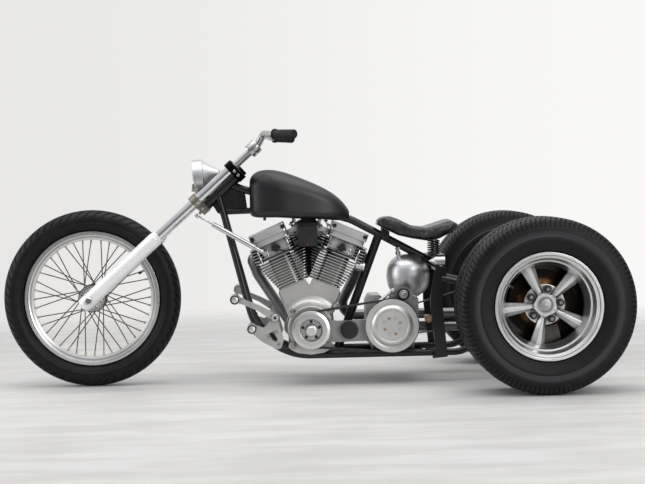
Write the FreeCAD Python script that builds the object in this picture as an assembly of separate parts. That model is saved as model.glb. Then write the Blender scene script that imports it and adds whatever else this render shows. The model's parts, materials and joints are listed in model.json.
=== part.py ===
import FreeCAD, Part
import math
import os
from FreeCAD import Placement, Rotation, Vector

# Custom motorized trike: one spoked front wheel in a long raked fork, a V-twin with an
# open belt primary, and two wide rear wheels on a rigid axle.
# Millimetres. +X forward, +Y to the rider's left, +Z up. The origin is on the floor under
# the middle of the vehicle.

# ---- driving dimensions -------------------------------------------------------------
OVERALL_LENGTH = 2500.0
FIT = 0.2                    # radial clearance of parts that are pressed or clamped together
SEAT_GAP = 0.3               # gap between a soft part and what carries it
RUN_GAP = 5.0                # clearance beside a turning part
BEARING_GAP = 0.5            # radial gap of a wheel on its axle

FRONT_TYRE_RADIUS = 365.0
FRONT_TYRE_WIDTH = 108.0
FRONT_RIM_RADIUS = 278.0     # over the rim's lip
FRONT_RIM_WIDTH = 62.0
SPOKE_COUNT = 40
SPOKE_RADIUS = 2.2

REAR_TYRE_RADIUS = 340.0
REAR_TYRE_WIDTH = 256.0
REAR_RIM_RADIUS = 208.0
REAR_RIM_WIDTH = 236.0
REAR_WHEEL_Y = 475.0         # centre plane of each rear wheel
ALLOY_SPOKES = 5

NECK_X, NECK_Z = 306.36, 880.55   # where the fork's centre line meets the upper clamp
CLAMP_SPACING = 200.0
LOWER_CLAMP_HEIGHT = 34.0
UPPER_CLAMP_HEIGHT = 33.0
RISER_LENGTH = 153.0         # from the upper clamp's underside
FORK_Y = 115.0               # half the distance between the fork tubes
FORK_TUBE_RADIUS = 20.5
SLIDER_RADIUS = 30.0
STEM_OFFSET = 34.0           # steering stem behind the fork tubes
STEM_RADIUS = 15.0
HEAD_TUBE_RADIUS = 27.0

BACKBONE_RADIUS = 16.0
FRAME_TUBE_RADIUS = 14.0
SEAT_POST_RADIUS = 18.0
RAIL_Y = 125.0
RAIL_Z = 120.0
UPRIGHT_Y = 148.0
UPRIGHT_THICKNESS = 14.0

CRANK_X, CRANK_Z = -14.0, 230.0
V_ANGLE = 45.0
CYLINDER_BASE = 175.0        # distances from the crankshaft along a cylinder
HEAD_BASE = 320.0
ROCKER_BASE = 385.0
ROCKER_TOP = 442.0
FIN_HALF_WIDTH = 72.0        # cylinder fins, across the vehicle
COVER_RADIUS = 94.0          # round cover on the left of the crankcase

CLUTCH_X, CLUTCH_Z = -343.0, 240.0
CLUTCH_RADIUS = 104.0
PULLEY_RADIUS = 66.0
BELT_THICKNESS = 7.0
PLATE_Y = 144.0              # inner face of the motor plate
PLATE_THICKNESS = 12.0
BELT_Y = 166.0
BELT_WIDTH = 28.0

OIL_TANK_X, OIL_TANK_Z = -428.0, 429.0
OIL_TANK_RADIUS = 91.0

TOP_MOUNT_Z = 652.0          # underside of the engine's top mount
TANK_TUNNEL = 3.0            # clearance of the fuel tank's tunnel round the backbone

# ---- places worked out from them ----------------------------------------------------
FRONT_X = OVERALL_LENGTH / 2 - FRONT_TYRE_RADIUS
REAR_X = REAR_TYRE_RADIUS - OVERALL_LENGTH / 2
FRONT_AXLE = Vector(FRONT_X, 0, FRONT_TYRE_RADIUS)
REAR_AXLE = Vector(REAR_X, 0, REAR_TYRE_RADIUS)
CRANK = Vector(CRANK_X, 0, CRANK_Z)
FORK_DROP = NECK_Z - FRONT_TYRE_RADIUS
RAKE = math.degrees(math.atan2(FRONT_X - NECK_X, FORK_DROP))     # fork angle from vertical
UPPER_CLAMP = math.hypot(FRONT_X - NECK_X, FORK_DROP)            # along the fork from the axle
LOWER_CLAMP = UPPER_CLAMP - CLAMP_SPACING
RISER_TOP = UPPER_CLAMP + RISER_LENGTH
SLIDER_TOP = LOWER_CLAMP * 0.67
FORK_FRAME = Placement(FRONT_AXLE, Rotation(Vector(0, 1, 0), -RAKE))
UP = Vector(0, 0, 1)
ACROSS = Vector(0, 1, 0)
FORWARD = Vector(1, 0, 0)
SIDES = (1, -1)


# ---- helpers ------------------------------------------------------------------------
def fuse(shapes):
    """One solid from overlapping or touching shapes."""
    shapes = list(shapes)
    return shapes[0].multiFuse(shapes[1:]).removeSplitter() if len(shapes) > 1 else shapes[0]


def group(shapes):
    """Separate solids that share a node."""
    return Part.makeCompound([solid for shape in shapes for solid in shape.Solids])


def mirrored(shape):
    return shape.mirror(Vector(0, 0, 0), ACROSS)


def both_sides(shape):
    return group([shape, mirrored(shape)])


def placed(shape, origin, direction=ACROSS):
    """Move a shape drawn along Z so that Z runs along direction from origin."""
    moved = shape.copy()
    moved.Placement = Placement(origin, Rotation(UP, direction))
    return moved


def in_fork(shape):
    """Move a shape drawn as (ahead of, across, up the fork) into the vehicle."""
    moved = shape.copy()
    moved.Placement = FORK_FRAME.multiply(moved.Placement)
    return moved


def rod(start, end, radius):
    axis = end - start
    return Part.makeCylinder(radius, axis.Length, start, axis)


def pipe(start, end, radius, bore):
    return rod(start, end, radius).cut(rod(start, end, bore))


def disc(x, z, radius, y_from, y_to):
    """A cylinder across the vehicle."""
    return Part.makeCylinder(radius, y_to - y_from, Vector(x, y_from, z), ACROSS)


def corner_arc(before, corner, after, radius):
    """Tangent arc that rounds one corner: its start, its middle and its end."""
    back = (before - corner).normalize()
    ahead = (after - corner).normalize()
    half = back.getAngle(ahead) / 2
    reach = radius / math.tan(half)
    inward = (back + ahead).normalize()
    middle = corner + inward * (radius / math.sin(half) - radius)
    return corner + back * reach, middle, corner + ahead * reach


def rounded_wire(points, radii):
    """Closed wire through points; each corner is rounded by its radius, 0 leaves it sharp."""
    edges, count, last = [], len(points), None
    for index, (corner, radius) in enumerate(zip(points, radii)):
        if radius:
            arc = corner_arc(points[index - 1], corner, points[(index + 1) % count], radius)
        else:
            arc = (corner, None, corner)
        if last is None:
            first = arc[0]
        elif (arc[0] - last).Length > 1e-6:
            edges.append(Part.makeLine(last, arc[0]))
        if radius:
            edges.append(Part.Arc(*arc).toShape())
        last = arc[2]
    if (first - last).Length > 1e-6:
        edges.append(Part.makeLine(last, first))
    return Part.Wire(edges)


def plate(outline, y_from, y_to):
    """Flat piece across the vehicle; outline rows are (x, z, corner radius)."""
    wire = rounded_wire([Vector(x, y_from, z) for x, z, _ in outline], [r for _, _, r in outline])
    return Part.Face(wire).extrude(ACROSS * (y_to - y_from))


def slab(outline, z_from, z_to):
    """Flat piece that lies level; outline rows are (x, y, corner radius)."""
    wire = rounded_wire([Vector(x, y, z_from) for x, y, _ in outline], [r for _, _, r in outline])
    return Part.Face(wire).extrude(UP * (z_to - z_from))


def turned(profile):
    """Solid of revolution about Z; profile rows are (radius, height, corner radius)."""
    wire = rounded_wire([Vector(r, 0, h) for r, h, _ in profile], [c for _, _, c in profile])
    return Part.Face(wire).revolve(Vector(0, 0, 0), UP, 360)


def bent_tube(points, bends, radius):
    """Round tube along straight runs joined by tangent arcs, one bend radius per corner."""
    edges, last = [], points[0]
    for index, bend in enumerate(bends, start=1):
        start, middle, end = corner_arc(points[index - 1], points[index], points[index + 1], bend)
        edges += [Part.makeLine(last, start), Part.Arc(start, middle, end).toShape()]
        last = end
    edges.append(Part.makeLine(last, points[-1]))
    section = Part.Wire(Part.Circle(points[0], points[1] - points[0], radius).toShape())
    return Part.Wire(edges).makePipeShell([section], True, False)


def loop_face(x_a, z_a, radius_a, x_b, z_b, radius_b, y):
    """Outline of two wheels and the tangents between them, as a face across the vehicle."""
    run = math.hypot(x_b - x_a, z_b - z_a)
    lean = math.atan2(z_b - z_a, x_b - x_a)
    open_angle = math.acos((radius_a - radius_b) / run)

    def rim(x, z, radius, angle):
        return Vector(x + radius * math.cos(angle), y, z + radius * math.sin(angle))

    a = [rim(x_a, z_a, radius_a, lean + angle) for angle in (open_angle, math.pi, -open_angle)]
    b = [rim(x_b, z_b, radius_b, lean + angle) for angle in (-open_angle, 0, open_angle)]
    edges = [Part.Arc(*a).toShape(), Part.makeLine(a[2], b[0]),
             Part.Arc(*b).toShape(), Part.makeLine(b[2], a[0])]
    return Part.Face(Part.Wire(edges))


def band(x_a, z_a, radius_a, x_b, z_b, radius_b, thickness, y_from, y_to):
    """Belt or chain of even thickness round two wheels."""
    outer = loop_face(x_a, z_a, radius_a + thickness, x_b, z_b, radius_b + thickness, y_from)
    inner = loop_face(x_a, z_a, radius_a, x_b, z_b, radius_b, y_from)
    return outer.cut(inner).extrude(ACROSS * (y_to - y_from))


# ---- wheels -------------------------------------------------------------------------
def tyre(radius, width, lip_radius, bead_radius, bead_width, crown, tread_share, round_over):
    """Tyre about Z, centred on its middle plane; it fills the rim between the lips."""
    half, bead = width / 2, bead_width / 2
    wall = bead_radius + (radius - bead_radius) * 0.5
    shoulder = radius - crown
    profile = [
        # radius, height, corner radius
        (bead_radius, -bead, 0),
        (lip_radius, -bead, 0),
        (wall, -half, (radius - bead_radius) * 0.35),
        (shoulder, -half * 0.94, 13),
        (radius, -half * tread_share, round_over),
        (radius, half * tread_share, round_over),
        (shoulder, half * 0.94, 13),
        (wall, half, (radius - bead_radius) * 0.35),
        (lip_radius, bead, 0),
        (bead_radius, bead, 0),
    ]
    return turned(profile)


def rim_ring(lip_radius, width, drop, lip, inner):
    """Wheel rim about Z with a rounded lip at each edge; inner rows draw what faces the axle."""
    half = width / 2
    barrel = lip_radius - drop
    return turned([
        # radius, height, corner radius
        (lip_radius, -half, 2), (lip_radius, -half + lip, 2), (barrel, -half + lip, 0),
        (barrel, half - lip, 0), (lip_radius, half - lip, 2), (lip_radius, half, 2)] + inner)


RIM_LIP = 7.0
FRONT_RIM_DROP = 10.0
FRONT_BEAD_RADIUS = FRONT_RIM_RADIUS - FRONT_RIM_DROP
FRONT_WELL_RADIUS = FRONT_RIM_RADIUS - 36       # where the spokes end
front_tyre = placed(tyre(FRONT_TYRE_RADIUS, FRONT_TYRE_WIDTH, FRONT_RIM_RADIUS, FRONT_BEAD_RADIUS,
                         FRONT_RIM_WIDTH - 2 * RIM_LIP, 26.0, 0.45, 42), FRONT_AXLE)
front_rim = placed(rim_ring(FRONT_RIM_RADIUS, FRONT_RIM_WIDTH, FRONT_RIM_DROP, RIM_LIP, [
    (FRONT_BEAD_RADIUS, FRONT_RIM_WIDTH / 2, 2), (FRONT_BEAD_RADIUS - 5, 25, 2),
    (FRONT_BEAD_RADIUS - 11, 22, 3), (FRONT_WELL_RADIUS, 13, 3), (FRONT_WELL_RADIUS, -13, 3),
    (FRONT_BEAD_RADIUS - 11, -22, 3), (FRONT_BEAD_RADIUS - 5, -25, 2),
    (FRONT_BEAD_RADIUS, -FRONT_RIM_WIDTH / 2, 2)]), FRONT_AXLE)

AXLE_RADIUS = 10.0
HUB_FLANGE_RADIUS = 57.0
HUB_FLANGE_Y = 30.0
HUB_END = 56.0
SPOKE_LEAN = 38.0            # turn between a spoke's two ends


def front_hub_with_spokes():
    """Drilled flange hub; its laced spokes lean to both sides and end on the rim."""
    body = turned([(0, -HUB_END, 0), (24, -HUB_END, 2), (24, HUB_END, 2), (0, HUB_END, 0)])
    flange_hole_circle = HUB_FLANGE_RADIUS * 0.68
    pieces = [body]
    for side in SIDES:
        flange = Part.makeCylinder(HUB_FLANGE_RADIUS, 6, Vector(0, 0, side * HUB_FLANGE_Y - 3))
        holes = []
        for step in range(8):
            angle = math.radians(45 * step + 22.5)
            spot = Vector(math.cos(angle), math.sin(angle), 0) * flange_hole_circle
            holes.append(Part.makeCylinder(6, 8, spot + UP * (side * HUB_FLANGE_Y - 4)))
        pieces.append(flange.cut(Part.makeCompound(holes)))
    spoke_inner = HUB_FLANGE_RADIUS - 5
    for index in range(SPOKE_COUNT):
        side = SIDES[index % 2]
        lean = 1 if index // 2 % 2 else -1
        at_rim = math.radians(360 * index / SPOKE_COUNT)
        at_hub = at_rim + math.radians(lean * SPOKE_LEAN)
        start = Vector(spoke_inner * math.cos(at_hub), spoke_inner * math.sin(at_hub),
                       side * (HUB_FLANGE_Y + lean * 2))
        end = Vector(FRONT_WELL_RADIUS * math.cos(at_rim), FRONT_WELL_RADIUS * math.sin(at_rim),
                     side * 7)
        pieces.append(rod(start, end + (end - start).normalize() * 4, SPOKE_RADIUS))
    inside = Part.makeCylinder(FRONT_WELL_RADIUS, 4 * HUB_END, Vector(0, 0, -2 * HUB_END))
    bore = Part.makeCylinder(AXLE_RADIUS + BEARING_GAP, 4 * HUB_END, Vector(0, 0, -2 * HUB_END))
    return fuse(pieces).common(inside).cut(bore)


front_hub = placed(front_hub_with_spokes(), FRONT_AXLE)

REAR_RIM_DROP = 10.0
REAR_RIM_WALL = 8.0
REAR_RIM_LIP = 8.0
REAR_RIM_DISH = 92.0         # depth of the spokes behind the rim's outer edge
REAR_BEAD_RADIUS = REAR_RIM_RADIUS - REAR_RIM_DROP
REAR_BARREL_BORE = REAR_BEAD_RADIUS - REAR_RIM_WALL
STUB_RADIUS = 20.0
WHEEL_FACE = REAR_RIM_WIDTH / 2 - REAR_RIM_DISH      # face of the spokes, from the wheel's middle
WHEEL_HUB_RADIUS = 80.0
WINDOW_RADIUS = 154.0        # outer edge of the openings between the spokes
FIRST_SPOKE = 78.7           # turn of the first spoke, in degrees
NUT_CIRCLE = 61.0
BRAKE_DISC_RADIUS = 132.0
BRAKE_DISC_FACE = WHEEL_FACE - 86
BRAKE_DISC_THICKNESS = 9.0


def alloy_spoke():
    """Ridged spoke along +X that widens from the hub to the rim."""
    sections = []
    for reach, half_width, edge, ridge, depth in (
            # distance from centre, half width, height of its edges, of its ridge, thickness
            (36, 12, WHEEL_FACE - 6, WHEEL_FACE + 4, 20),
            (WINDOW_RADIUS + 14, 31, WHEEL_FACE - 12, WHEEL_FACE + 6, 20)):
        corners = [Vector(reach, y, z) for y, z in (
            (-half_width, edge - depth), (-half_width, edge), (-half_width * 0.3, ridge),
            (half_width * 0.3, ridge), (half_width, edge), (half_width, edge - depth))]
        sections.append(rounded_wire(corners, [0, 4, 3, 3, 4, 0]))
    return Part.makeLoft(sections, True, True)


def alloy_wheel():
    """Deep-dished five-spoke cast wheel about Z, outer face at +Z."""
    half = REAR_RIM_WIDTH / 2
    ring = rim_ring(REAR_RIM_RADIUS, REAR_RIM_WIDTH, REAR_RIM_DROP, REAR_RIM_LIP, [
        (REAR_RIM_RADIUS - 11, half, 2), (REAR_RIM_RADIUS - 14, half - 9, 3),
        (REAR_RIM_RADIUS - 24, half - 16, 4), (REAR_RIM_RADIUS - 33, half - 48, 4),
        (REAR_RIM_RADIUS - 39, half - 52, 3), (WINDOW_RADIUS + 3, WHEEL_FACE + 6, 4),
        (WINDOW_RADIUS, WHEEL_FACE, 3), (WINDOW_RADIUS, WHEEL_FACE - 26, 3),
        (REAR_BARREL_BORE, WHEEL_FACE - 44, 6), (REAR_BARREL_BORE, -half, 2)])
    hub_back = BRAKE_DISC_FACE + BRAKE_DISC_THICKNESS
    hub = turned([(STUB_RADIUS + BEARING_GAP, hub_back, 0), (46, hub_back, 0), (46, WHEEL_FACE - 40, 8),
                  (WHEEL_HUB_RADIUS, WHEEL_FACE - 32, 4), (WHEEL_HUB_RADIUS, WHEEL_FACE - 16, 3),
                  (30, WHEEL_FACE - 16, 0), (30, WHEEL_FACE + 4, 0), (26, WHEEL_FACE + 15, 12),
                  (0, WHEEL_FACE + 17, 0), (0, WHEEL_FACE - 14, 0),
                  (STUB_RADIUS + BEARING_GAP, WHEEL_FACE - 14, 0)])
    pieces = [ring, hub]
    star = []
    for index in range(ALLOY_SPOKES):
        turn = FIRST_SPOKE + index * 360 / ALLOY_SPOKES
        spoke = alloy_spoke()
        spoke.rotate(Vector(0, 0, 0), UP, turn)
        pieces.append(spoke)
        point, between = math.radians(turn), math.radians(turn + 180 / ALLOY_SPOKES)
        star.append((51 * math.cos(point), 51 * math.sin(point), 8))
        spot = Vector(NUT_CIRCLE * math.cos(between), NUT_CIRCLE * math.sin(between), WHEEL_FACE - 18)
        pieces += [Part.makeCylinder(12, 5, spot), Part.makeCylinder(8.5, 16, spot)]
        pieces.append(Part.makeCylinder(4, 4, Vector(43 * math.cos(point), 43 * math.sin(point),
                                                     WHEEL_FACE + 6)))
    pieces.append(slab(star, WHEEL_FACE - 14, WHEEL_FACE + 8))
    return fuse(pieces)


def brake_disc():
    """Vented disc on a short bell that meets the back of the wheel's hub."""
    shape = turned([(STUB_RADIUS + BEARING_GAP, BRAKE_DISC_FACE - 14, 2), (52, BRAKE_DISC_FACE - 14, 2),
                    (52, BRAKE_DISC_FACE, 0), (BRAKE_DISC_RADIUS, BRAKE_DISC_FACE, 1),
                    (BRAKE_DISC_RADIUS, BRAKE_DISC_FACE + BRAKE_DISC_THICKNESS, 1),
                    (STUB_RADIUS + BEARING_GAP, BRAKE_DISC_FACE + BRAKE_DISC_THICKNESS, 0)])
    return shape


# ---- rear axle ----------------------------------------------------------------------
HOUSING_RADIUS = 36.0
HOUSING_HALF = 320.0
CHAIN_Y = 92.0
CHAIN_WIDTH = 14.0
CHAIN_HEIGHT = 6.0
REAR_SPROCKET_RADIUS = 100.0
FRONT_SPROCKET_RADIUS = 46.0
STUB_END = REAR_WHEEL_Y + WHEEL_FACE - 16
CALLIPER_TURN = 192.0        # from upright, towards the front


def axle_at(y, radius, length):
    return disc(REAR_X, REAR_TYRE_RADIUS, radius, y, y + length)


def rear_axle_housing():
    """Live-axle housing with bearing flanges and a stub for each wheel."""
    pieces = [axle_at(-HOUSING_HALF, HOUSING_RADIUS, 2 * HOUSING_HALF)]
    for side in SIDES:
        profile = [(0, HOUSING_HALF - 12, 0), (52, HOUSING_HALF - 12, 2), (52, HOUSING_HALF, 2),
                   (30, HOUSING_HALF, 0), (30, HOUSING_HALF + 40, 4),
                   (STUB_RADIUS, HOUSING_HALF + 44, 0),
                   (STUB_RADIUS, STUB_END, 3), (0, STUB_END, 0)]
        pieces.append(placed(turned(profile), REAR_AXLE, ACROSS * side))
    return fuse(pieces)


def calliper():
    """Four-pot calliper astride the disc, on a shield plate round the axle's stub."""
    wheel_y = REAR_WHEEL_Y
    disc_in = wheel_y + BRAKE_DISC_FACE - RUN_GAP
    disc_out = wheel_y + BRAKE_DISC_FACE + BRAKE_DISC_THICKNESS + RUN_GAP
    body = Part.makeBox(78, disc_out - disc_in + 46, 74,
                        Vector(-39, disc_in - 24, BRAKE_DISC_RADIUS - 42))
    limit = disc(0, 0, REAR_BARREL_BORE - 12, disc_in - 30, disc_out + 30)
    body = body.common(limit)
    slot = disc(0, 0, BRAKE_DISC_RADIUS + RUN_GAP, disc_in, disc_out)
    carrier_y = disc_in - 24
    arm = Part.makeBox(44, 10, BRAKE_DISC_RADIUS - 10, Vector(-22, carrier_y - 10, 0))
    ring = disc(0, 0, 44, carrier_y - 10, carrier_y)
    shield = disc(0, 0, REAR_BARREL_BORE - 8, carrier_y - 10, carrier_y - 7)
    shape = fuse([body.cut(slot), arm, ring, shield]).cut(disc(0, 0, STUB_RADIUS + FIT, 0, 2 * wheel_y))
    shape.rotate(Vector(0, 0, 0), ACROSS, CALLIPER_TURN)
    shape.translate(REAR_AXLE)
    return shape


# ---- frame --------------------------------------------------------------------------
def fork_point(ahead, across, along):
    return FORK_FRAME.multVec(Vector(ahead, across, along))


def neck_point(ahead, across, below):
    """Point in the fork's frame, measured down from the upper clamp."""
    return fork_point(ahead, across, UPPER_CLAMP - below)


HEAD_BOTTOM = LOWER_CLAMP + LOWER_CLAMP_HEIGHT + BEARING_GAP
HEAD_TOP = UPPER_CLAMP - BEARING_GAP
BACKBONE = [neck_point(-85, 0, 16.5), Vector(-195, 0, 668), Vector(-548, 0, 474)]
BRACE = [neck_point(-96, 0, 146), Vector(232, 0, 714), Vector(-10, 0, 722)]
BRACE_RADIUS = 13.0
DOWNTUBE_BEND = 255.0
DOWNTUBE_CORNER_X = 186.0
RAIL_START = -30.0
ENGINE_TUBE_X = 60.0
CROSS_TUBES_X = (-124.0, -285.0, -430.0)
CROSS_TUBE_RADIUS = 12.0
UPRIGHT_X = -546.0
PERCH_TUBE_Z = 455.0
PERCH_Z = 518.0


def head_tube(radius, overrun=0.0):
    return rod(fork_point(-STEM_OFFSET, 0, HEAD_BOTTOM - overrun),
               fork_point(-STEM_OFFSET, 0, HEAD_TOP + overrun), radius)


def frame_neck():
    """Head tube with the front ends of both top tubes and a gusset between them."""
    upper = rod(neck_point(-48, 0, 34), BACKBONE[0], BACKBONE_RADIUS)
    brace = rod(BRACE[0], BRACE[1], BRACE_RADIUS)
    corners = [neck_point(ahead, 0, below) for ahead, below in (
        # ahead of the fork, below the upper clamp
        (-40, 146), (-96, 156), (-176, 61), (-93, 3), (-48, 30))]
    gusset = plate([(point.x, point.z, 0) for point in corners], -5, 5)
    tube = head_tube(HEAD_TUBE_RADIUS)
    return fuse([tube, upper, brace, gusset]).cut(head_tube(STEM_RADIUS + BEARING_GAP, 5))


def frame_backbone():
    """Top tube through the fuel tank, with the lower brace tube that joins it."""
    return fuse([bent_tube(BACKBONE, [160], BACKBONE_RADIUS), rod(BRACE[1], BRACE[2], BRACE_RADIUS)])


def downtube():
    """Tube from the head tube round to the rail, welded beside its twin at the top."""
    neck = neck_point(-48, 15, 105)
    corner = Vector(DOWNTUBE_CORNER_X, RAIL_Y, RAIL_Z)
    tail = Vector(RAIL_START, RAIL_Y, RAIL_Z)
    tube = bent_tube([neck, corner, tail], [DOWNTUBE_BEND], FRAME_TUBE_RADIUS)
    return tube.cut(head_tube(HEAD_TUBE_RADIUS, 5))


def bottom_rails():
    """Two rails joined by cross tubes and a belly plate under the engine and the gearbox."""
    pieces = [rod(Vector(RAIL_START, side * RAIL_Y, RAIL_Z), Vector(UPRIGHT_X, side * RAIL_Y, RAIL_Z),
                  FRAME_TUBE_RADIUS) for side in SIDES]
    pieces += [disc(x, RAIL_Z, CROSS_TUBE_RADIUS, -RAIL_Y, RAIL_Y) for x in CROSS_TUBES_X]
    edge = RAIL_Y - 7
    pieces.append(slab([(-492, -edge, 20), (-40, -edge, 20), (-40, edge, 20), (-492, edge, 20)],
                       RAIL_Z - CROSS_TUBE_RADIUS - 2, RAIL_Z - CROSS_TUBE_RADIUS + 3))
    return fuse(pieces)


def engine_cross_tube():
    """Tube between the two downtube bends, under the front of the engine."""
    return disc(ENGINE_TUBE_X, RAIL_Z + 8, CROSS_TUBE_RADIUS, -RAIL_Y, RAIL_Y)


def seat_post():
    return rod(Vector(-307, 0, 600), Vector(CROSS_TUBES_X[0], 0, RAIL_Z), SEAT_POST_RADIUS)


def upright():
    """Bowed side plate that ties the rails, the backbone and the axle stays together."""
    outline = [(-573, 104, 4), (-507, 98, 4), (-523, 132, 30), (-502, 338, 220), (-529, 478, 4),
               (-576, 468, 4), (-552, 338, 220), (-570, 124, 30)]
    inner = UPRIGHT_Y - UPRIGHT_THICKNESS / 2
    return plate(outline, inner, inner + UPRIGHT_THICKNESS)


def seat_perch():
    """Cross tube between the uprights, with the plate that the seat springs stand on."""
    inner = UPRIGHT_Y - UPRIGHT_THICKNESS / 2
    tube = disc(UPRIGHT_X - 4, PERCH_TUBE_Z, 13, -inner, inner)
    shelf = slab([(-575, -95, 10), (-500, -95, 10), (-500, 95, 10), (-575, 95, 10)], 512, PERCH_Z)
    post_height = PERCH_Z - PERCH_TUBE_Z - 2
    posts = [Part.makeCylinder(9, post_height, Vector(UPRIGHT_X - 4, side * 70, PERCH_TUBE_Z))
             for side in SIDES]
    return fuse([tube, shelf] + posts)


def axle_stays():
    """Tubes from the uprights back to the axle housing, two on each side."""
    pieces = []
    for side in SIDES:
        lower = bent_tube([Vector(UPRIGHT_X, side * RAIL_Y, RAIL_Z), Vector(-640, side * RAIL_Y, RAIL_Z),
                           Vector(REAR_X, side * RAIL_Y, REAR_TYRE_RADIUS)], [110], FRAME_TUBE_RADIUS)
        upper = rod(Vector(-552, side * UPRIGHT_Y, 424),
                    Vector(REAR_X, side * (UPRIGHT_Y + 20), REAR_TYRE_RADIUS), 13)
        pieces += [lower, upper]
    return pieces


# ---- engine -------------------------------------------------------------------------
def cylinder_lean(side):
    """Tilt a piece drawn along Z from the crankshaft; side 1 is the front cylinder."""
    return Placement(CRANK, Rotation(ACROSS, side * V_ANGLE / 2))


def on_cylinder(shape, side):
    moved = shape.copy()
    if side < 0:
        moved = moved.mirror(Vector(0, 0, 0), FORWARD)
    moved.Placement = cylinder_lean(side).multiply(moved.Placement)
    return moved


def fin(inner, outer, half_width, base, thickness, corner=14.0):
    return slab([(-inner, -half_width, corner), (outer, -half_width, corner),
                 (outer, half_width, corner), (-inner, half_width, corner)], base, base + thickness)


FIN_PITCH = 11.5
FIN_THICKNESS = 3.2
INNER_FIN = 76.0             # reach of the head's fins toward the other cylinder
FIN_PARTING = 2.0            # from the fins' inner ends to the plane between the cylinders
BARREL_HALF = 62.0           # the barrel's own half width, behind the fins' edges


def finned_barrel():
    """Squared barrel with a base flange and fins that grow outward toward the head."""
    pieces = [fin(46, 50, BARREL_HALF, CYLINDER_BASE, HEAD_BASE - CYLINDER_BASE, 30),
              fin(60, 62, 60, CYLINDER_BASE, 8)]
    count = int((HEAD_BASE - CYLINDER_BASE - 22) // FIN_PITCH) + 1
    for index in range(count):
        grow = index / (count - 1)
        base = CYLINDER_BASE + 16 + index * FIN_PITCH
        inner = base * math.tan(math.radians(V_ANGLE / 2)) - FIN_PARTING
        pieces.append(fin(inner, 58 + 42 * grow, FIN_HALF_WIDTH, base, FIN_THICKNESS, 26))
    return fuse(pieces)


HEAD_REACH = 103.0
HEAD_HALF = 78.0
HEAD_FLAT = 57.0             # half length of the smooth flank above the fins
HEAD_FLAT_BASE = 338.0
PORT_Y = -48.0
PORT_HEIGHT = (HEAD_BASE + ROCKER_BASE) / 2
INTAKE_Y = -26.0
INTAKE_FACE = INNER_FIN + 5


def cylinder_head():
    """Head with a smooth flank between finned ends and a boss for each port."""
    pieces = [fin(50, HEAD_REACH - 18, HEAD_HALF - 16, HEAD_BASE, ROCKER_BASE - HEAD_BASE, 20),
              fin(HEAD_FLAT, HEAD_FLAT, HEAD_HALF, HEAD_FLAT_BASE, ROCKER_BASE - HEAD_FLAT_BASE, 3)]
    levels = 6
    pitch = (ROCKER_BASE - HEAD_BASE - 4) / (levels - 1)
    for index in range(levels):
        base = HEAD_BASE + index * pitch
        pieces.append(fin(INNER_FIN, HEAD_REACH, HEAD_HALF - 6, base, 4))
        pieces.append(slab([(-INNER_FIN - 28, 14, 6), (0, 14, 0), (0, 58, 0),
                            (-INNER_FIN - 28, 58, 14)], base, base + 4))
    exhaust = Part.makeCylinder(25, 24, Vector(HEAD_REACH - 20, PORT_Y, PORT_HEIGHT), FORWARD)
    intake = Part.makeCylinder(20, 34, Vector(-INTAKE_FACE, INTAKE_Y, PORT_HEIGHT), FORWARD)
    return fuse(pieces + [exhaust, intake])


def rocker_box():
    """Two-piece smooth cover, its lid a little proud of the base."""
    lower = fin(68, 80, 94, ROCKER_BASE, 24, 10)
    lid = fin(72, 85, 98, ROCKER_BASE + 24, ROCKER_TOP - ROCKER_BASE - 24, 12)
    return fuse([lower, lid])


def arch_bracket():
    """Bowed strap over the V that ties both rocker boxes to the frame's top mount."""
    half = [(26, 0, 30), (66, 9, 24), (104, 26, 0), (96, 38, 0), (58, 30, 20), (26, 22, 30)]
    ahead = [(CRANK_X + x, TOP_MOUNT_Z - drop, radius) for x, drop, radius in half]
    behind = [(CRANK_X - x, TOP_MOUNT_Z - drop, radius) for x, drop, radius in reversed(half)]
    return plate(ahead + behind, 36, 52)


CASE_RADIUS = 98.0
CASE_HALF = 62.0
FAN_Y = 74.0                 # face of the V-shaped flank under the cylinders


def fan_casting():
    """Left flank of the case: flat under the cylinders, swept out to the round cover."""
    half = [(17, 198, 4), (126, 153, 8), (111, 117, 30), (100, 84, 20), (84, 30, 0)]
    ahead = [(CRANK_X + x, CRANK_Z + z, radius) for x, z, radius in half]
    behind = [(CRANK_X - x, CRANK_Z + z, radius) for x, z, radius in reversed(half)]
    outline = plate([(CRANK_X, CRANK_Z + 174, 3)] + ahead + behind, CASE_HALF, PLATE_Y)
    cover = disc(CRANK_X, CRANK_Z, COVER_RADIUS, CASE_HALF, PLATE_Y)
    sweep = turned([(0, CASE_HALF, 0), (240, CASE_HALF, 0), (240, FAN_Y, 0), (COVER_RADIUS, FAN_Y, 42),
                    (COVER_RADIUS, PLATE_Y, 5), (0, PLATE_Y, 0)])
    return fuse([outline, cover]).common(placed(sweep, Vector(CRANK_X, 0, CRANK_Z)))


def case_lugs():
    """Bolt lugs beside the round cover and the crescent foot below it."""
    pieces = []
    for x, z, radius, tip in ((66, 297, 14, 146), (-122, 313, 14, 92), (60, 162, 14, 152)):
        pieces += [disc(x, z, radius, CASE_HALF - 2, tip), disc(x, z, 7, tip, tip + 4)]
    crescent = plate([(84, 172, 10), (72, 148, 14), (40, 132, 30), (CRANK_X, 125, 60), (-66, 132, 30),
                      (-100, 150, 14), (-96, 172, 6)], 140, 150)
    return pieces + [crescent]


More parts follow.
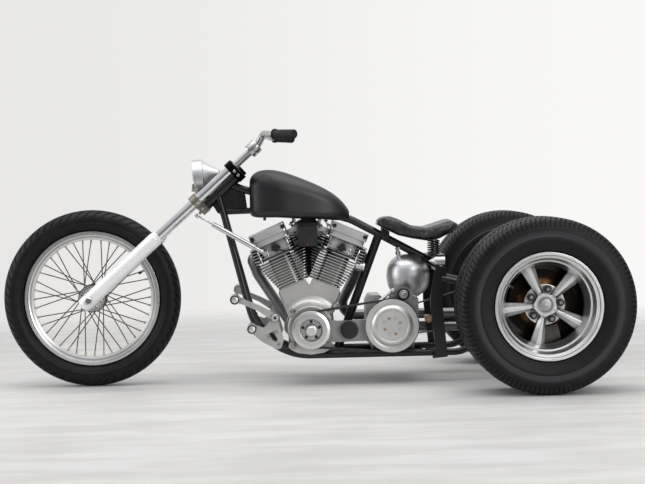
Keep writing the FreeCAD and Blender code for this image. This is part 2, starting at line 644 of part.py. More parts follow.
def crankcase():
    """Round crankcase with a deck for each cylinder, a crank boss and feet on the frame."""
    drum = disc(CRANK_X, CRANK_Z, CASE_RADIUS, -CASE_HALF, CASE_HALF)
    decks = [on_cylinder(fin(60, 66, CASE_HALF, 60, CYLINDER_BASE - 60, 10), side) for side in SIDES]
    sump = plate([(70, 150, 16), (70, 230, 0), (-100, 230, 0), (-100, 150, 16)],
                 -CASE_HALF + 6, CASE_HALF - 6)
    foot = Part.makeBox(32, 2 * CASE_HALF - 20, 60,
                        Vector(ENGINE_TUBE_X - 16, -CASE_HALF + 10, RAIL_Z + 8))
    tail = plate([(-70, 150, 0), (-70, 190, 0), (-118, 138, 0), (-118, 124, 0), (-100, 124, 0)],
                 -CASE_HALF + 22, CASE_HALF - 22)
    shape = fuse([drum, sump, foot, tail, fan_casting()] + decks + case_lugs())
    return shape.cut(FRAME_RAILS).cut(parts["frame_seat_post"])


def cam_cover():
    """Timing cover on the right of the crankcase, with tappet blocks above it."""
    outline = [(96, 200, 30), (80, 330, 26), (-14, 352, 40), (-110, 330, 26), (-120, 200, 30),
               (-14, 132, 70)]
    cover = plate(outline, -CASE_HALF - 34, -CASE_HALF)
    ring = disc(CRANK_X, CRANK_Z, 52, -CASE_HALF - 44, -CASE_HALF - 30)
    return fuse([cover, ring])


PUSHROD_Y = -86.0
PUSHROD_BASE = 90.0


def pushrod_tubes():
    """Two telescopic covers for each cylinder, from the cam cover to the rocker box."""
    tubes = []
    for side in SIDES:
        for across in (-20, 22):
            start = Vector(across, PUSHROD_Y, PUSHROD_BASE)
            cover = fuse([Part.makeCylinder(8, ROCKER_BASE - PUSHROD_BASE, start),
                          Part.makeCylinder(11, 72, start)])
            tubes.append(on_cylinder(cover, side).cut(CAM_COVER))
    return group(tubes)


CARBURETTOR_Z = 594.0
AIR_CLEANER_Y = -118.0


def carburettor():
    """Intake manifold in the V with the carburettor on the right."""
    manifold = disc(CRANK_X, CARBURETTOR_Z, 21, AIR_CLEANER_Y, -8)
    arms = [rod(cylinder_lean(side).multVec(Vector(-side * (INTAKE_FACE - 4), INTAKE_Y, PORT_HEIGHT)),
                Vector(CRANK_X, INTAKE_Y, CARBURETTOR_Z), 16) for side in SIDES]
    body = slab([(CRANK_X - 32, -112, 8), (CRANK_X + 32, -112, 8), (CRANK_X + 32, -82, 8),
                 (CRANK_X - 32, -82, 8)], CARBURETTOR_Z - 40, CARBURETTOR_Z + 38)
    return fuse([manifold, body] + arms)


AIR_CLEANER_RADIUS = 82.0


def air_cleaner():
    return placed(turned([(0, 0, 0), (AIR_CLEANER_RADIUS, 0, 4), (AIR_CLEANER_RADIUS, 38, 4),
                          (AIR_CLEANER_RADIUS - 14, 48, 6), (0, 50, 0)]),
                  Vector(CRANK_X, AIR_CLEANER_Y, CARBURETTOR_Z), ACROSS * -1)


PIPE_RADIUS = 22.0
PIPE_BORE = 19.5
PIPE_Y = -184.0
PIPE_Z = 196.0
PIPE_END = -748.0


def exhausts():
    """Two pipes that sweep down and back along the right side."""
    front_port = cylinder_lean(1).multVec(Vector(HEAD_REACH - 20, PORT_Y, PORT_HEIGHT))
    front_lead = cylinder_lean(1).multVec(Vector(HEAD_REACH + 10, PORT_Y - 6, PORT_HEIGHT))
    rear_port = cylinder_lean(-1).multVec(Vector(-HEAD_REACH + 20, PORT_Y, PORT_HEIGHT))
    rear_lead = cylinder_lean(-1).multVec(Vector(-HEAD_REACH - 10, PORT_Y - 6, PORT_HEIGHT))
    front_bends = [front_port, front_lead, Vector(200, -104, 441), Vector(48, PIPE_Y, PIPE_Z),
                   Vector(PIPE_END, PIPE_Y, PIPE_Z)]
    rear_bends = [rear_port, rear_lead, Vector(-218, -100, 440), Vector(-126, PIPE_Y, PIPE_Z + 56),
                  Vector(PIPE_END, PIPE_Y, PIPE_Z + 56)]
    pipes = [bent_tube(front_bends, [24, 26, 80], PIPE_RADIUS),
             bent_tube(rear_bends, [24, 26, 60], PIPE_RADIUS)]
    bores = [rod(Vector(PIPE_END + 120, PIPE_Y, z), Vector(PIPE_END, PIPE_Y, z), PIPE_BORE)
             for z in (PIPE_Z, PIPE_Z + 56)]
    hanger = plate([(-553, 190, 0), (-527, 190, 0), (-527, 262, 0), (-553, 262, 0)],
                   PIPE_Y + PIPE_RADIUS - 4, -UPRIGHT_Y - UPRIGHT_THICKNESS / 2)
    corner = Vector(HEAD_REACH + 4 - 40, PORT_Y - 40, PORT_HEIGHT - 40)
    seats = [on_cylinder(Part.makeBox(40, 80, 80, corner), side) for side in SIDES]
    return fuse(pipes + [hanger]).cut(Part.makeCompound(bores + seats))


def motor_plate():
    """Aluminium plate that ties engine and gearbox together behind the belt."""
    boss = disc(CRANK_X, CRANK_Z, 52, PLATE_Y, PLATE_Y + PLATE_THICKNESS)
    body = plate([(CRANK_X, 178, 0), (-120, 175, 40), (-262, 177, 30), (-330, 156, 12), (-440, 186, 14),
                  (-455, 250, 6), (-455, 345, 8), (-414, 392, 14), (-372, 392, 12), (-340, 372, 10),
                  (-322, 318, 14), (-262, 263, 30), (-120, 261, 40), (CRANK_X, 282, 0)],
                 PLATE_Y, PLATE_Y + PLATE_THICKNESS)
    return fuse([boss, body])


def engine_pulley():
    """Toothed pulley with an outer flange, a ring of holes and its nut."""
    front = BELT_Y + BELT_WIDTH
    depth = front - PLATE_Y - PLATE_THICKNESS
    flange = PULLEY_RADIUS + 12
    body = placed(turned([(0, 0, 0), (PULLEY_RADIUS, 0, 0), (PULLEY_RADIUS, depth, 0),
                          (flange, depth, 1), (flange, depth + 3, 2), (flange - 12, depth + 7, 6),
                          (46, depth + 7, 2), (43, depth - 4, 0),
                          (22, depth - 4, 0), (20, depth + 4, 0), (0, depth + 4, 0)]),
                  Vector(CRANK_X, PLATE_Y + PLATE_THICKNESS, CRANK_Z))
    holes = []
    for index in range(5):
        angle = math.radians(90 + 72 * index)
        holes.append(disc(CRANK_X + 34 * math.cos(angle), CRANK_Z + 34 * math.sin(angle), 6,
                          BELT_Y, front + 20))
    nut = Part.Face(Part.makePolygon([Vector(CRANK_X + 16 * math.cos(math.radians(60 * i)), front + 4,
                                             CRANK_Z + 16 * math.sin(math.radians(60 * i)))
                                      for i in range(7)])).extrude(ACROSS * 12)
    return fuse([body.cut(Part.makeCompound(holes)), nut])


def clutch():
    """Clutch drum with the belt teeth under its cover and a raised, bolted face."""
    front = BELT_Y + BELT_WIDTH + 4 - PLATE_Y - PLATE_THICKNESS
    body = placed(turned([(0, 0, 0), (CLUTCH_RADIUS, 0, 0), (CLUTCH_RADIUS, front - 4, 0),
                          (CLUTCH_RADIUS + 4, front - 4, 1), (CLUTCH_RADIUS + 4, front, 1),
                          (92, front, 3), (85, front - 3, 4), (73, front + 8, 6),
                          (65, front + 8, 2), (63, front + 6, 0), (0, front + 6, 0)]),
                  Vector(CLUTCH_X, PLATE_Y + PLATE_THICKNESS, CLUTCH_Z))
    bolts = []
    for index in range(4):
        angle = math.radians(25 + 90 * index)
        bolts.append(disc(CLUTCH_X + 34 * math.cos(angle), CLUTCH_Z + 34 * math.sin(angle), 5,
                          PLATE_Y + PLATE_THICKNESS, PLATE_Y + PLATE_THICKNESS + front + 9))
    return fuse([body] + bolts)


def primary_belt():
    return band(CRANK_X, CRANK_Z, PULLEY_RADIUS + FIT, CLUTCH_X, CLUTCH_Z, CLUTCH_RADIUS + FIT,
                BELT_THICKNESS, BELT_Y, BELT_Y + BELT_WIDTH - 1)


def belt_tensioner():
    wheel = placed(turned([(0, 0, 0), (20, 0, 0), (20, 8, 0), (36, 8, 2), (36, 26, 6), (0, 28, 0)]),
                   Vector(-170, PLATE_Y + PLATE_THICKNESS, 225))
    return wheel


def gearbox():
    """Gearbox case between the seat post and the uprights, on feet over the cross tubes."""
    outline = [(-246, 158, 12), (-246, 330, 6), (-262, 356, 8), (-305, 356, 12), (-322, 334, 8),
               (-446, 326, 14), (-452, 200, 16), (-430, 152, 14)]
    case = plate(outline, -84, 78)
    cover = plate([(-266, 172, 16), (-270, 318, 16), (-432, 310, 16), (-436, 178, 20)], -98, -84)
    shaft = disc(CLUTCH_X, CLUTCH_Z, 28, 78, PLATE_Y)
    feet = [Part.makeBox(30, 120, 46, Vector(x - 15, -60, RAIL_Z)) for x in CROSS_TUBES_X[1:]]
    return fuse([case, cover, shaft] + feet).cut(FRAME_RAILS)


def starter_nose():
    """End of the starter, on the motor plate above the clutch."""
    return placed(turned([(0, 0, 0), (22, 0, 2), (22, 24, 2), (18, 26, 0), (18, 40, 4), (0, 42, 0)]),
                  Vector(-392, PLATE_Y + PLATE_THICKNESS, 367))


# ---- tanks, seat, lamps -------------------------------------------------------------
def fuel_tank():
    """Slim tank with a tunnel over the backbone, lofted through rounded sections."""
    sections = []
    for x, low, high, half, corner in (
            # place, underside, top, half width, corner radius
            (225, 706, 826, 62, 34),
            (208, 689, 865, 98, 54),
            (150, 686, 882, 126, 74),
            (40, 680, 856, 126, 72),
            (-70, 674, 808, 110, 56),
            (-150, 668, 752, 82, 36),
            (-184, 676, 706, 54, 13)):
        corners = [Vector(x, -half, low), Vector(x, half, low), Vector(x, half, high),
                   Vector(x, -half, high)]
        sections.append(rounded_wire(corners, [min(corner, 30), min(corner, 30), corner, corner]))
    body = Part.makeLoft(sections, True, False)
    width = 2 * (BACKBONE_RADIUS + TANK_TUNNEL)
    cutters = []
    for start, end in zip(BACKBONE, BACKBONE[1:]):
        cutters.append(rod(start + (start - end) * 0.2, end, BACKBONE_RADIUS + TANK_TUNNEL))
    run = BACKBONE[1] - BACKBONE[0]
    saddles = [pipe(BACKBONE[0] + run * near, BACKBONE[0] + run * (near + 0.06),
                    BACKBONE_RADIUS + TANK_TUNNEL + 1, BACKBONE_RADIUS + FIT) for near in (0.22, 0.72)]
    slot = plate([(262, 806, 0), (-195, 668, 0), (-260, 600, 0), (262, 600, 0)], -width / 2, width / 2)
    cap = Part.makeCylinder(33, 20, Vector(99, 0, 851), Vector(-0.23, 0, 0.97))
    petcock = Part.makeCylinder(6, 16, Vector(165, 70, 674))
    return fuse([fuse([body, cap, petcock]).cut(Part.makeCompound(cutters + [slot]))] + saddles)


SEAT_TOP = [(-292, 672, 14), (-318, 688, 20), (-380, 666, 60), (-442, 634, 60), (-500, 627, 60),
            (-560, 645, 60), (-612, 661, 10), (-639, 652, 12)]
SEAT_UNDER = [(-298, 651, 0), (-330, 632, 30), (-382, 606, 60), (-440, 592, 60), (-498, 583, 60),
              (-545, 590, 60), (-606, 619, 0)]      # place, height, corner radius
PAN_THICKNESS = 4.0


def seat_pad():
    """Leather saddle: a dished side profile, narrow at the nose."""
    side = plate(SEAT_TOP + [(-637, 630, 8)] + SEAT_UNDER[::-1] + [(-292, 657, 3)], -150, 150)
    plan = slab([(-285, -60, 50), (-285, 60, 50), (-420, 92, 120), (-520, 142, 90), (-645, 130, 60),
                 (-645, -130, 60), (-520, -142, 90), (-420, -92, 120)], 500, 750)
    return side.common(plan)


def seat_pan():
    """Steel pan under the saddle, with its hinge bracket on the backbone."""
    top = [(x, z - SEAT_GAP, radius) for x, z, radius in SEAT_UNDER]
    bottom = [(x, z - PAN_THICKNESS, radius) for x, z, radius in reversed(top)]
    side = plate(top + bottom, -150, 150)
    plan = slab([(-292, -52, 40), (-292, 52, 40), (-420, 84, 110), (-520, 132, 80), (-640, 120, 50),
                 (-640, -120, 50), (-520, -132, 80), (-420, -84, 110)], 500, 750)
    pan = side.common(plan)
    hinge = plate([(-318, 634, 0), (-352, 616, 0), (-352, 574, 0), (-318, 590, 0)], -20, 20)
    return fuse([pan, hinge.cut(raised_pad())]).cut(FRAME_BACKBONE)


def raised_pad():
    """The pad and the gap under it, as one cutter for what lies below."""
    pad = seat_pad()
    lowered = pad.copy()
    lowered.translate(Vector(0, 0, -SEAT_GAP))
    return fuse([pad, lowered])


def seat_springs():
    """Two hairpin-stack springs drawn as barrels between the perch and the pan."""
    under = [(x, z - SEAT_GAP - PAN_THICKNESS, radius) for x, z, radius in SEAT_UNDER]
    above = plate(under + [(-606, 700, 0), (-298, 700, 0)], -150, 150)
    pieces = []
    for side in SIDES:
        spot = Vector(-537, side * 70, PERCH_Z)
        coils = [Part.makeTorus(16, 3.2, spot + UP * (6 + 9.4 * index)) for index in range(6)]
        core = Part.makeCylinder(13, 80, spot)
        pieces.append(fuse([core] + coils).cut(above))
    return pieces


def oil_tank():
    """Spun ball-shaped tank seated under the backbone, on a pedestal over the gearbox."""
    radius, flat = OIL_TANK_RADIUS, OIL_TANK_RADIUS * 0.42
    ball = turned([(0, -radius, 0), (flat, -radius + 3, 30), (radius * 0.93, -radius * 0.62, 70),
                   (radius, 0, 90), (radius * 0.93, radius * 0.62, 70), (flat, radius - 3, 30),
                   (0, radius, 0)])
    ball.translate(Vector(OIL_TANK_X, 0, OIL_TANK_Z))
    pedestal = Part.makeCylinder(26, radius, Vector(OIL_TANK_X, 0, OIL_TANK_Z - radius * 1.5))
    neck = rod(Vector(OIL_TANK_X + 34, 36, OIL_TANK_Z + 60),
               Vector(OIL_TANK_X + 44, 42, OIL_TANK_Z + 96), 9)
    groove = rod(BACKBONE[1], BACKBONE[2], BACKBONE_RADIUS + FIT)
    return fuse([ball, pedestal.cut(parts["gearbox"]), neck]).cut(groove)


def tail_lamps():
    """Bullet lamps on short stalks above the uprights."""
    profile = [(0, 0, 0), (18.5, 0, 1), (18.5, 40, 14), (0, 66, 0)]
    lamp = placed(turned(profile), Vector(-566, UPRIGHT_Y, 497), FORWARD)
    stalk = rod(Vector(-550, UPRIGHT_Y, 470), Vector(-550, UPRIGHT_Y, 490), 6)
    return both_sides(fuse([lamp, stalk.cut(UPRIGHTS)]))


def ignition_coil():
    """Twin-lead coil block on the left with two plug towers."""
    block = plate([(-49, 565, 8), (29, 565, 8), (29, 647, 8), (-49, 647, 8)], 62, 110)
    towers = [rod(Vector(x, 96, z), Vector(x + dx, 96, z - 10), 9)
              for x, z, dx in ((25, 588, 22), (-45, 588, -22))]
    return fuse([block] + towers)


def top_mount():
    """Bracket from the backbone that carries the arch over the V and the coil."""
    low = TOP_MOUNT_Z
    web = plate([(-56, low, 0), (32, low, 0), (10, low + 28, 6), (10, 716, 0), (-44, 700, 0),
                 (-44, low + 28, 6)], -6, 6)
    shelf = plate([(-56, low, 0), (32, low, 0), (32, low + 8, 0), (-56, low + 8, 0)], -6, 62)
    hanger = plate([(-46, 606, 6), (26, 606, 6), (26, low + 8, 0), (-46, low + 8, 0)], 54, 62)
    return fuse([web, shelf, hanger]).cut(FRAME_BACKBONE)


# ---- foot controls ------------------------------------------------------------------
CONTROL_Y = 200.0
CONTROL_THICKNESS = 9.0


def foot_control():
    """Side plate with its mounting boss on the downtube and the lower peg."""
    near, far = CONTROL_Y - CONTROL_THICKNESS / 2, CONTROL_Y + CONTROL_THICKNESS / 2
    outline = [(119, 275, 4), (97, 194, 8), (109, 160, 8), (126, 156, 8), (185, 188, 10),
               (238, 236, 14), (222, 262, 12), (176, 244, 12), (154, 270, 8), (146, 300, 14),
               (118, 298, 14)]
    side_plate = plate(outline, near, far)
    window = plate([(122, 196, 4), (130, 186, 4), (168, 212, 6), (140, 232, 6)], near, far)
    boss = disc(158, 188, 13, RAIL_Y - 8, near)
    peg = disc(226, 250, 17, near, CONTROL_Y + 100)
    return fuse([side_plate.cut(window), boss.cut(FRAME_DOWNTUBES), peg])


def foot_lever():
    """Cranked pedal lever with a rubber-sized peg and its pivot bolt."""
    pivot = disc(131, 286, 12, CONTROL_Y + CONTROL_THICKNESS / 2, CONTROL_Y + 26)
    near = CONTROL_Y + CONTROL_THICKNESS / 2 + 6
    arm = plate([(118, 284, 6), (134, 270, 6), (200, 316, 30), (254, 340, 20), (302, 356, 8),
                 (292, 384, 8), (246, 360, 20), (190, 336, 30), (124, 302, 6)], near, near + 9)
    peg = disc(289, 369, 19, near + 9, near + 95)
    return fuse([pivot, arm, peg])


# ---- fork, bars, lamp ---------------------------------------------------------------
CLAMP_COLLAR_RADIUS = FORK_TUBE_RADIUS + 9.5
CLAMP_BACK = 30.0            # reach of a clamp behind the stem's axis


def fork_clamp(along, height):
    """Triple clamp: two collars joined to the stem behind them."""
    web = slab([(16, -FORK_Y, 0), (8, -60, 30), (8, 60, 30), (16, FORK_Y, 0), (-22, FORK_Y + 8, 0),
                (-STEM_OFFSET - CLAMP_BACK, 34, 16), (-STEM_OFFSET - CLAMP_BACK, -34, 16),
                (-22, -FORK_Y - 8, 0)], along, along + height)
    collars = [Part.makeCylinder(CLAMP_COLLAR_RADIUS, height, Vector(0, side * FORK_Y, along))
               for side in SIDES]
    bores = [Part.makeCylinder(FORK_TUBE_RADIUS + FIT, height, Vector(0, side * FORK_Y, along))
             for side in SIDES]
    return fuse([web] + collars).cut(Part.makeCompound(bores))


def lower_clamp():
    stem = Part.makeCylinder(STEM_RADIUS, UPPER_CLAMP - LOWER_CLAMP,
                             Vector(-STEM_OFFSET, 0, LOWER_CLAMP + 1))
    ahead, across, along = DAMPER_EYE
    pin = Part.makeCylinder(6, LOWER_CLAMP - along - 12, Vector(ahead, across, along + 12))
    return in_fork(fuse([fork_clamp(LOWER_CLAMP, LOWER_CLAMP_HEIGHT), stem, pin]))


def upper_clamp():
    nut = Part.makeCylinder(21, 12, Vector(-STEM_OFFSET, 0, UPPER_CLAMP + UPPER_CLAMP_HEIGHT))
    return in_fork(fuse([fork_clamp(UPPER_CLAMP, UPPER_CLAMP_HEIGHT), nut]))


def fork_tubes():
    tube = Part.makeCylinder(FORK_TUBE_RADIUS, UPPER_CLAMP + UPPER_CLAMP_HEIGHT - SLIDER_TOP,
                             Vector(0, FORK_Y, SLIDER_TOP))
    return both_sides(in_fork(tube))


def fork_sliders():
    """Stout lower legs with a dust collar and a rounded toe round the axle."""
    leg = turned([(0, -42, 0), (SLIDER_RADIUS, -42, 16), (SLIDER_RADIUS, SLIDER_TOP - 16, 0),
                  (SLIDER_RADIUS - 4, SLIDER_TOP - 12, 0), (SLIDER_RADIUS - 4, SLIDER_TOP, 2),
                  (0, SLIDER_TOP, 0)])
    leg.translate(Vector(0, FORK_Y, 0))
    bore = Part.makeCylinder(AXLE_RADIUS + FIT, 200, Vector(0, 0, 0), ACROSS)
    return both_sides(in_fork(leg.cut(bore)))


def front_axle():
    end = FORK_Y + SLIDER_RADIUS
    spacer = HUB_END + 1
    profile = [(0, 0, 0), (AXLE_RADIUS, 0, 0), (AXLE_RADIUS, spacer, 0), (15, spacer, 0),
               (15, FORK_Y - SLIDER_RADIUS - 0.5, 0), (AXLE_RADIUS, FORK_Y - SLIDER_RADIUS - 0.5, 0),
               (AXLE_RADIUS, end, 0), (15, end, 1), (15, end + 8, 2), (0, end + 8, 0)]
    half = placed(turned(profile), FRONT_AXLE)
    return fuse([half, mirrored(half)])


LAMP_CENTRE = neck_point(80.5, 0, 127.3)
LAMP_TILT = 6.0
LAMP_RADIUS = 72.0
LAMP_AIM = Vector(math.cos(math.radians(LAMP_TILT)), 0, -math.sin(math.radians(LAMP_TILT)))


def headlamp_shell():
    """Deep bezel and bullet shell, on a block above the lower clamp."""
    shell = turned([(LAMP_RADIUS - 7, 0, 0), (LAMP_RADIUS, 0, 2), (LAMP_RADIUS, -40, 2),
                    (LAMP_RADIUS - 7, -43, 0), (46, -70, 60), (20, -108, 10), (0, -112, 0),
                    (0, -104, 0), (16, -102, 0), (41, -66, 0), (LAMP_RADIUS - 12, -40, 0),
                    (LAMP_RADIUS - 7, -36, 0)])
    shell = placed(shell, LAMP_CENTRE, LAMP_AIM)
    block = in_fork(Part.makeBox(46, 30, 26, Vector(16, -15, LOWER_CLAMP + LOWER_CLAMP_HEIGHT)))
    pad = in_fork(Part.makeBox(34, 44, 6, Vector(0, -22, LOWER_CLAMP + LOWER_CLAMP_HEIGHT)))
    hollow = placed(Part.makeCylinder(LAMP_RADIUS - 4, 200), LAMP_CENTRE - LAMP_AIM * 60, LAMP_AIM)
    return fuse([shell, block.cut(hollow), pad])


def headlamp_lens():
    lens = turned([(0, 6, 0), (LAMP_RADIUS - 30, 4, 60), (LAMP_RADIUS - 7 - FIT, -6, 0),
                   (LAMP_RADIUS - 7 - FIT, -12, 0), (0, -12, 0)])
    return placed(lens, LAMP_CENTRE, LAMP_AIM)


BAR_RADIUS = 12.5
GRIP_RADIUS = 18.5
BAR_START = neck_point(-3.5, FORK_Y, -147.4)
BAR_POINTS = [BAR_START] + [BAR_START + Vector(back, out, up) for back, out, up in (
    (-31, 9, 54), (-60, 157, 46), (-150, 249, 42))]


def handlebars():
    """Clip-on bars: a riser in each fork tube, a clamp and a swept bar."""
    riser = in_fork(Part.makeCylinder(BAR_RADIUS, RISER_TOP - UPPER_CLAMP - UPPER_CLAMP_HEIGHT,
                                      Vector(0, FORK_Y, UPPER_CLAMP + UPPER_CLAMP_HEIGHT)))
    knuckle = in_fork(Part.makeCylinder(24, 46, Vector(0, FORK_Y, RISER_TOP - 40)))
    bar = bent_tube(BAR_POINTS, [30, 60], BAR_RADIUS)
    return both_sides(fuse([riser, knuckle, bar]))


def handle_grips():
    start, end = BAR_POINTS[2], BAR_POINTS[3]
    along = (end - start).normalize()
    length = (end - start).Length
    grip = turned([(BAR_RADIUS + FIT, 22, 0), (GRIP_RADIUS + 3, 22, 2), (GRIP_RADIUS + 3, 30, 2),
                   (GRIP_RADIUS, 31, 0), (GRIP_RADIUS, length + 8, 6), (0, length + 8, 0),
                   (0, length + FIT, 0), (BAR_RADIUS + FIT, length + FIT, 0)])
    return both_sides(placed(grip, start, along))


# ---- steering damper ----------------------------------------------------------------
DAMPER_EYE = (-45.0, 80.0, LOWER_CLAMP - 21)     # ahead of, across, up the fork
DAMPER_PIVOT = Vector(166, 120, 540)
DAMPER_BARREL_RADIUS = 10.5
DAMPER_ROD_RADIUS = 4.0
DAMPER_EYE_HALF = 7.0
DAMPER_SHOWN = 72.0          # length of rod outside the barrel at rest
eye_point = fork_point(*DAMPER_EYE)
damper_line = (eye_point - DAMPER_PIVOT).normalize()
damper_length = (eye_point - DAMPER_PIVOT).Length


def damper_barrel():
    """Slim barrel with a ball end at its rear, drilled for the rod."""
    barrel_end = damper_length - DAMPER_SHOWN
    barrel = turned([(0, 0, 0), (7, 0, 0), (7, 48, 0), (DAMPER_BARREL_RADIUS, 50, 0),
                     (DAMPER_BARREL_RADIUS, barrel_end, 2), (DAMPER_ROD_RADIUS + 0.5, barrel_end, 0),
                     (DAMPER_ROD_RADIUS + 0.5, barrel_end - 125, 0), (0, barrel_end - 125, 0)])
    barrel = placed(barrel, DAMPER_PIVOT, damper_line)
    eye = disc(DAMPER_PIVOT.x, DAMPER_PIVOT.z, 11, DAMPER_PIVOT.y - DAMPER_EYE_HALF,
               DAMPER_PIVOT.y + DAMPER_EYE_HALF)
    hole = disc(DAMPER_PIVOT.x, DAMPER_PIVOT.z, 5.5, DAMPER_PIVOT.y - 30, DAMPER_PIVOT.y + 30)
    return fuse([barrel, eye]).cut(hole)


def damper_rod():
    """Polished rod that ends in an eye under the lower clamp."""
    rod_start = DAMPER_PIVOT + damper_line * (damper_length - DAMPER_SHOWN - 62)
    shaft = rod(rod_start, eye_point - damper_line * 4, DAMPER_ROD_RADIUS)
    ahead, across, along = DAMPER_EYE
    eye = in_fork(Part.makeCylinder(10, 16, Vector(ahead, across, along - 8)))
    return fuse([shaft, eye])


def damper_stud():
    """Bolt from the front cylinder head through the barrel's rear eye."""
    x, z = DAMPER_PIVOT.x, DAMPER_PIVOT.z
    bolt = disc(x, z, 5, HEAD_HALF, DAMPER_PIVOT.y + 12)
    collar = disc(x, z, 11, HEAD_HALF, DAMPER_PIVOT.y - DAMPER_EYE_HALF - 3)
    head = disc(x, z, 9, DAMPER_PIVOT.y + DAMPER_EYE_HALF + 2, DAMPER_PIVOT.y + DAMPER_EYE_HALF + 8)
    return fuse([bolt, collar, head])


# ---- assembly -----------------------------------------------------------------------
parts = {}
parts["front_tyre"] = front_tyre
parts["front_rim"] = front_rim
parts["front_hub"] = front_hub

wheel_template = placed(alloy_wheel(), Vector(REAR_X, REAR_WHEEL_Y, REAR_TYRE_RADIUS))
tyre_template = placed(tyre(REAR_TYRE_RADIUS, REAR_TYRE_WIDTH, REAR_RIM_RADIUS, REAR_BEAD_RADIUS,
                            REAR_RIM_WIDTH - 2 * REAR_RIM_LIP, 14.0, 0.78, 24),
                       Vector(REAR_X, REAR_WHEEL_Y, REAR_TYRE_RADIUS))
disc_template = placed(brake_disc(), Vector(REAR_X, REAR_WHEEL_Y, REAR_TYRE_RADIUS))
for name, template in (("tyre", tyre_template), ("wheel", wheel_template),
                       ("brake_disc", disc_template)):
    parts["rear_left_" + name] = template
    parts["rear_right_" + name] = mirrored(template)

parts["rear_axle_housing"] = rear_axle_housing()
parts["brake_callipers"] = both_sides(calliper())

neck = frame_neck()
UPRIGHTS = both_sides(upright())
FRAME_BACKBONE = frame_backbone().cut(neck).cut(UPRIGHTS)
FRAME_DOWNTUBES = both_sides(downtube().cut(neck))
FRAME_RAILS = group([bottom_rails().cut(UPRIGHTS), engine_cross_tube().cut(FRAME_DOWNTUBES)])
parts["frame_neck"] = neck
parts["frame_backbone"] = FRAME_BACKBONE
parts["frame_downtubes"] = FRAME_DOWNTUBES
parts["frame_bottom_rails"] = FRAME_RAILS
parts["frame_seat_post"] = seat_post().cut(FRAME_BACKBONE).cut(FRAME_RAILS)
parts["frame_uprights"] = UPRIGHTS
parts["seat_perch"] = seat_perch().cut(UPRIGHTS).cut(FRAME_BACKBONE)
parts["frame_axle_stays"] = group([stay.cut(UPRIGHTS).cut(parts["rear_axle_housing"])
                                   for stay in axle_stays()])

CAM_COVER = cam_cover()
parts["crankcase"] = fuse([crankcase(), CAM_COVER])
parts["cylinders"] = group([on_cylinder(finned_barrel(), side) for side in SIDES])
heads = [on_cylinder(cylinder_head(), side) for side in SIDES]
parts["cylinder_heads"] = group([fuse([heads[0], damper_stud()]), heads[1]])
rockers = group([on_cylinder(rocker_box(), side) for side in SIDES])
parts["rocker_boxes"] = group([rockers, arch_bracket().cut(rockers).cut(parts["cylinder_heads"])])
parts["pushrod_tubes"] = pushrod_tubes()
parts["carburettor"] = fuse([carburettor(), air_cleaner()]).cut(parts["cylinder_heads"])
parts["exhaust_pipes"] = exhausts().cut(parts["cylinder_heads"])
parts["motor_plate"] = fuse([motor_plate(), belt_tensioner(), starter_nose()])
parts["engine_pulley"] = engine_pulley()
parts["clutch"] = clutch()
parts["primary_belt"] = primary_belt()
parts["gearbox"] = gearbox()
rear_sprocket = disc(REAR_X, REAR_TYRE_RADIUS, REAR_SPROCKET_RADIUS, CHAIN_Y + 4, CHAIN_Y + 10)
front_sprocket = disc(CLUTCH_X, CLUTCH_Z, FRONT_SPROCKET_RADIUS, CHAIN_Y + 4, CHAIN_Y + 10)
chain = band(REAR_X, REAR_TYRE_RADIUS, REAR_SPROCKET_RADIUS + FIT, CLUTCH_X, CLUTCH_Z,
             FRONT_SPROCKET_RADIUS + FIT, CHAIN_HEIGHT, CHAIN_Y, CHAIN_Y + CHAIN_WIDTH)
parts["final_drive"] = group([rear_sprocket.cut(parts["rear_axle_housing"]),
                              front_sprocket.cut(parts["gearbox"]), chain])

parts["fuel_tank"] = fuel_tank()
parts["seat_pad"] = seat_pad()
parts["seat_base"] = fuse([seat_pan()] + seat_springs())
parts["oil_tank"] = oil_tank()
parts["tail_lamps"] = tail_lamps()
parts["ignition_coil"] = fuse([ignition_coil(), top_mount()])
parts["foot_controls"] = both_sides(fuse([foot_control(), foot_lever()]))

parts["fork_clamps"] = fuse([lower_clamp(), upper_clamp()])
parts["fork_tubes"] = fork_tubes()
parts["fork_sliders"] = fork_sliders()
parts["front_axle"] = front_axle()
parts["headlamp_shell"] = headlamp_shell()
parts["headlamp_lens"] = headlamp_lens()
parts["handlebars"] = handlebars()
parts["handle_grips"] = handle_grips()
parts["damper_barrel"] = damper_barrel()
parts["damper_rod"] = damper_rod()

os.makedirs("parts", exist_ok=True)
for name, shape in parts.items():
    print(name, len(shape.Solids), round(shape.Volume / 1000), shape.isValid())
    shape.exportStep(os.path.join("parts", name + ".step"))
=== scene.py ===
import json
import math
import bmesh
import bpy
from mathutils import Matrix, Vector


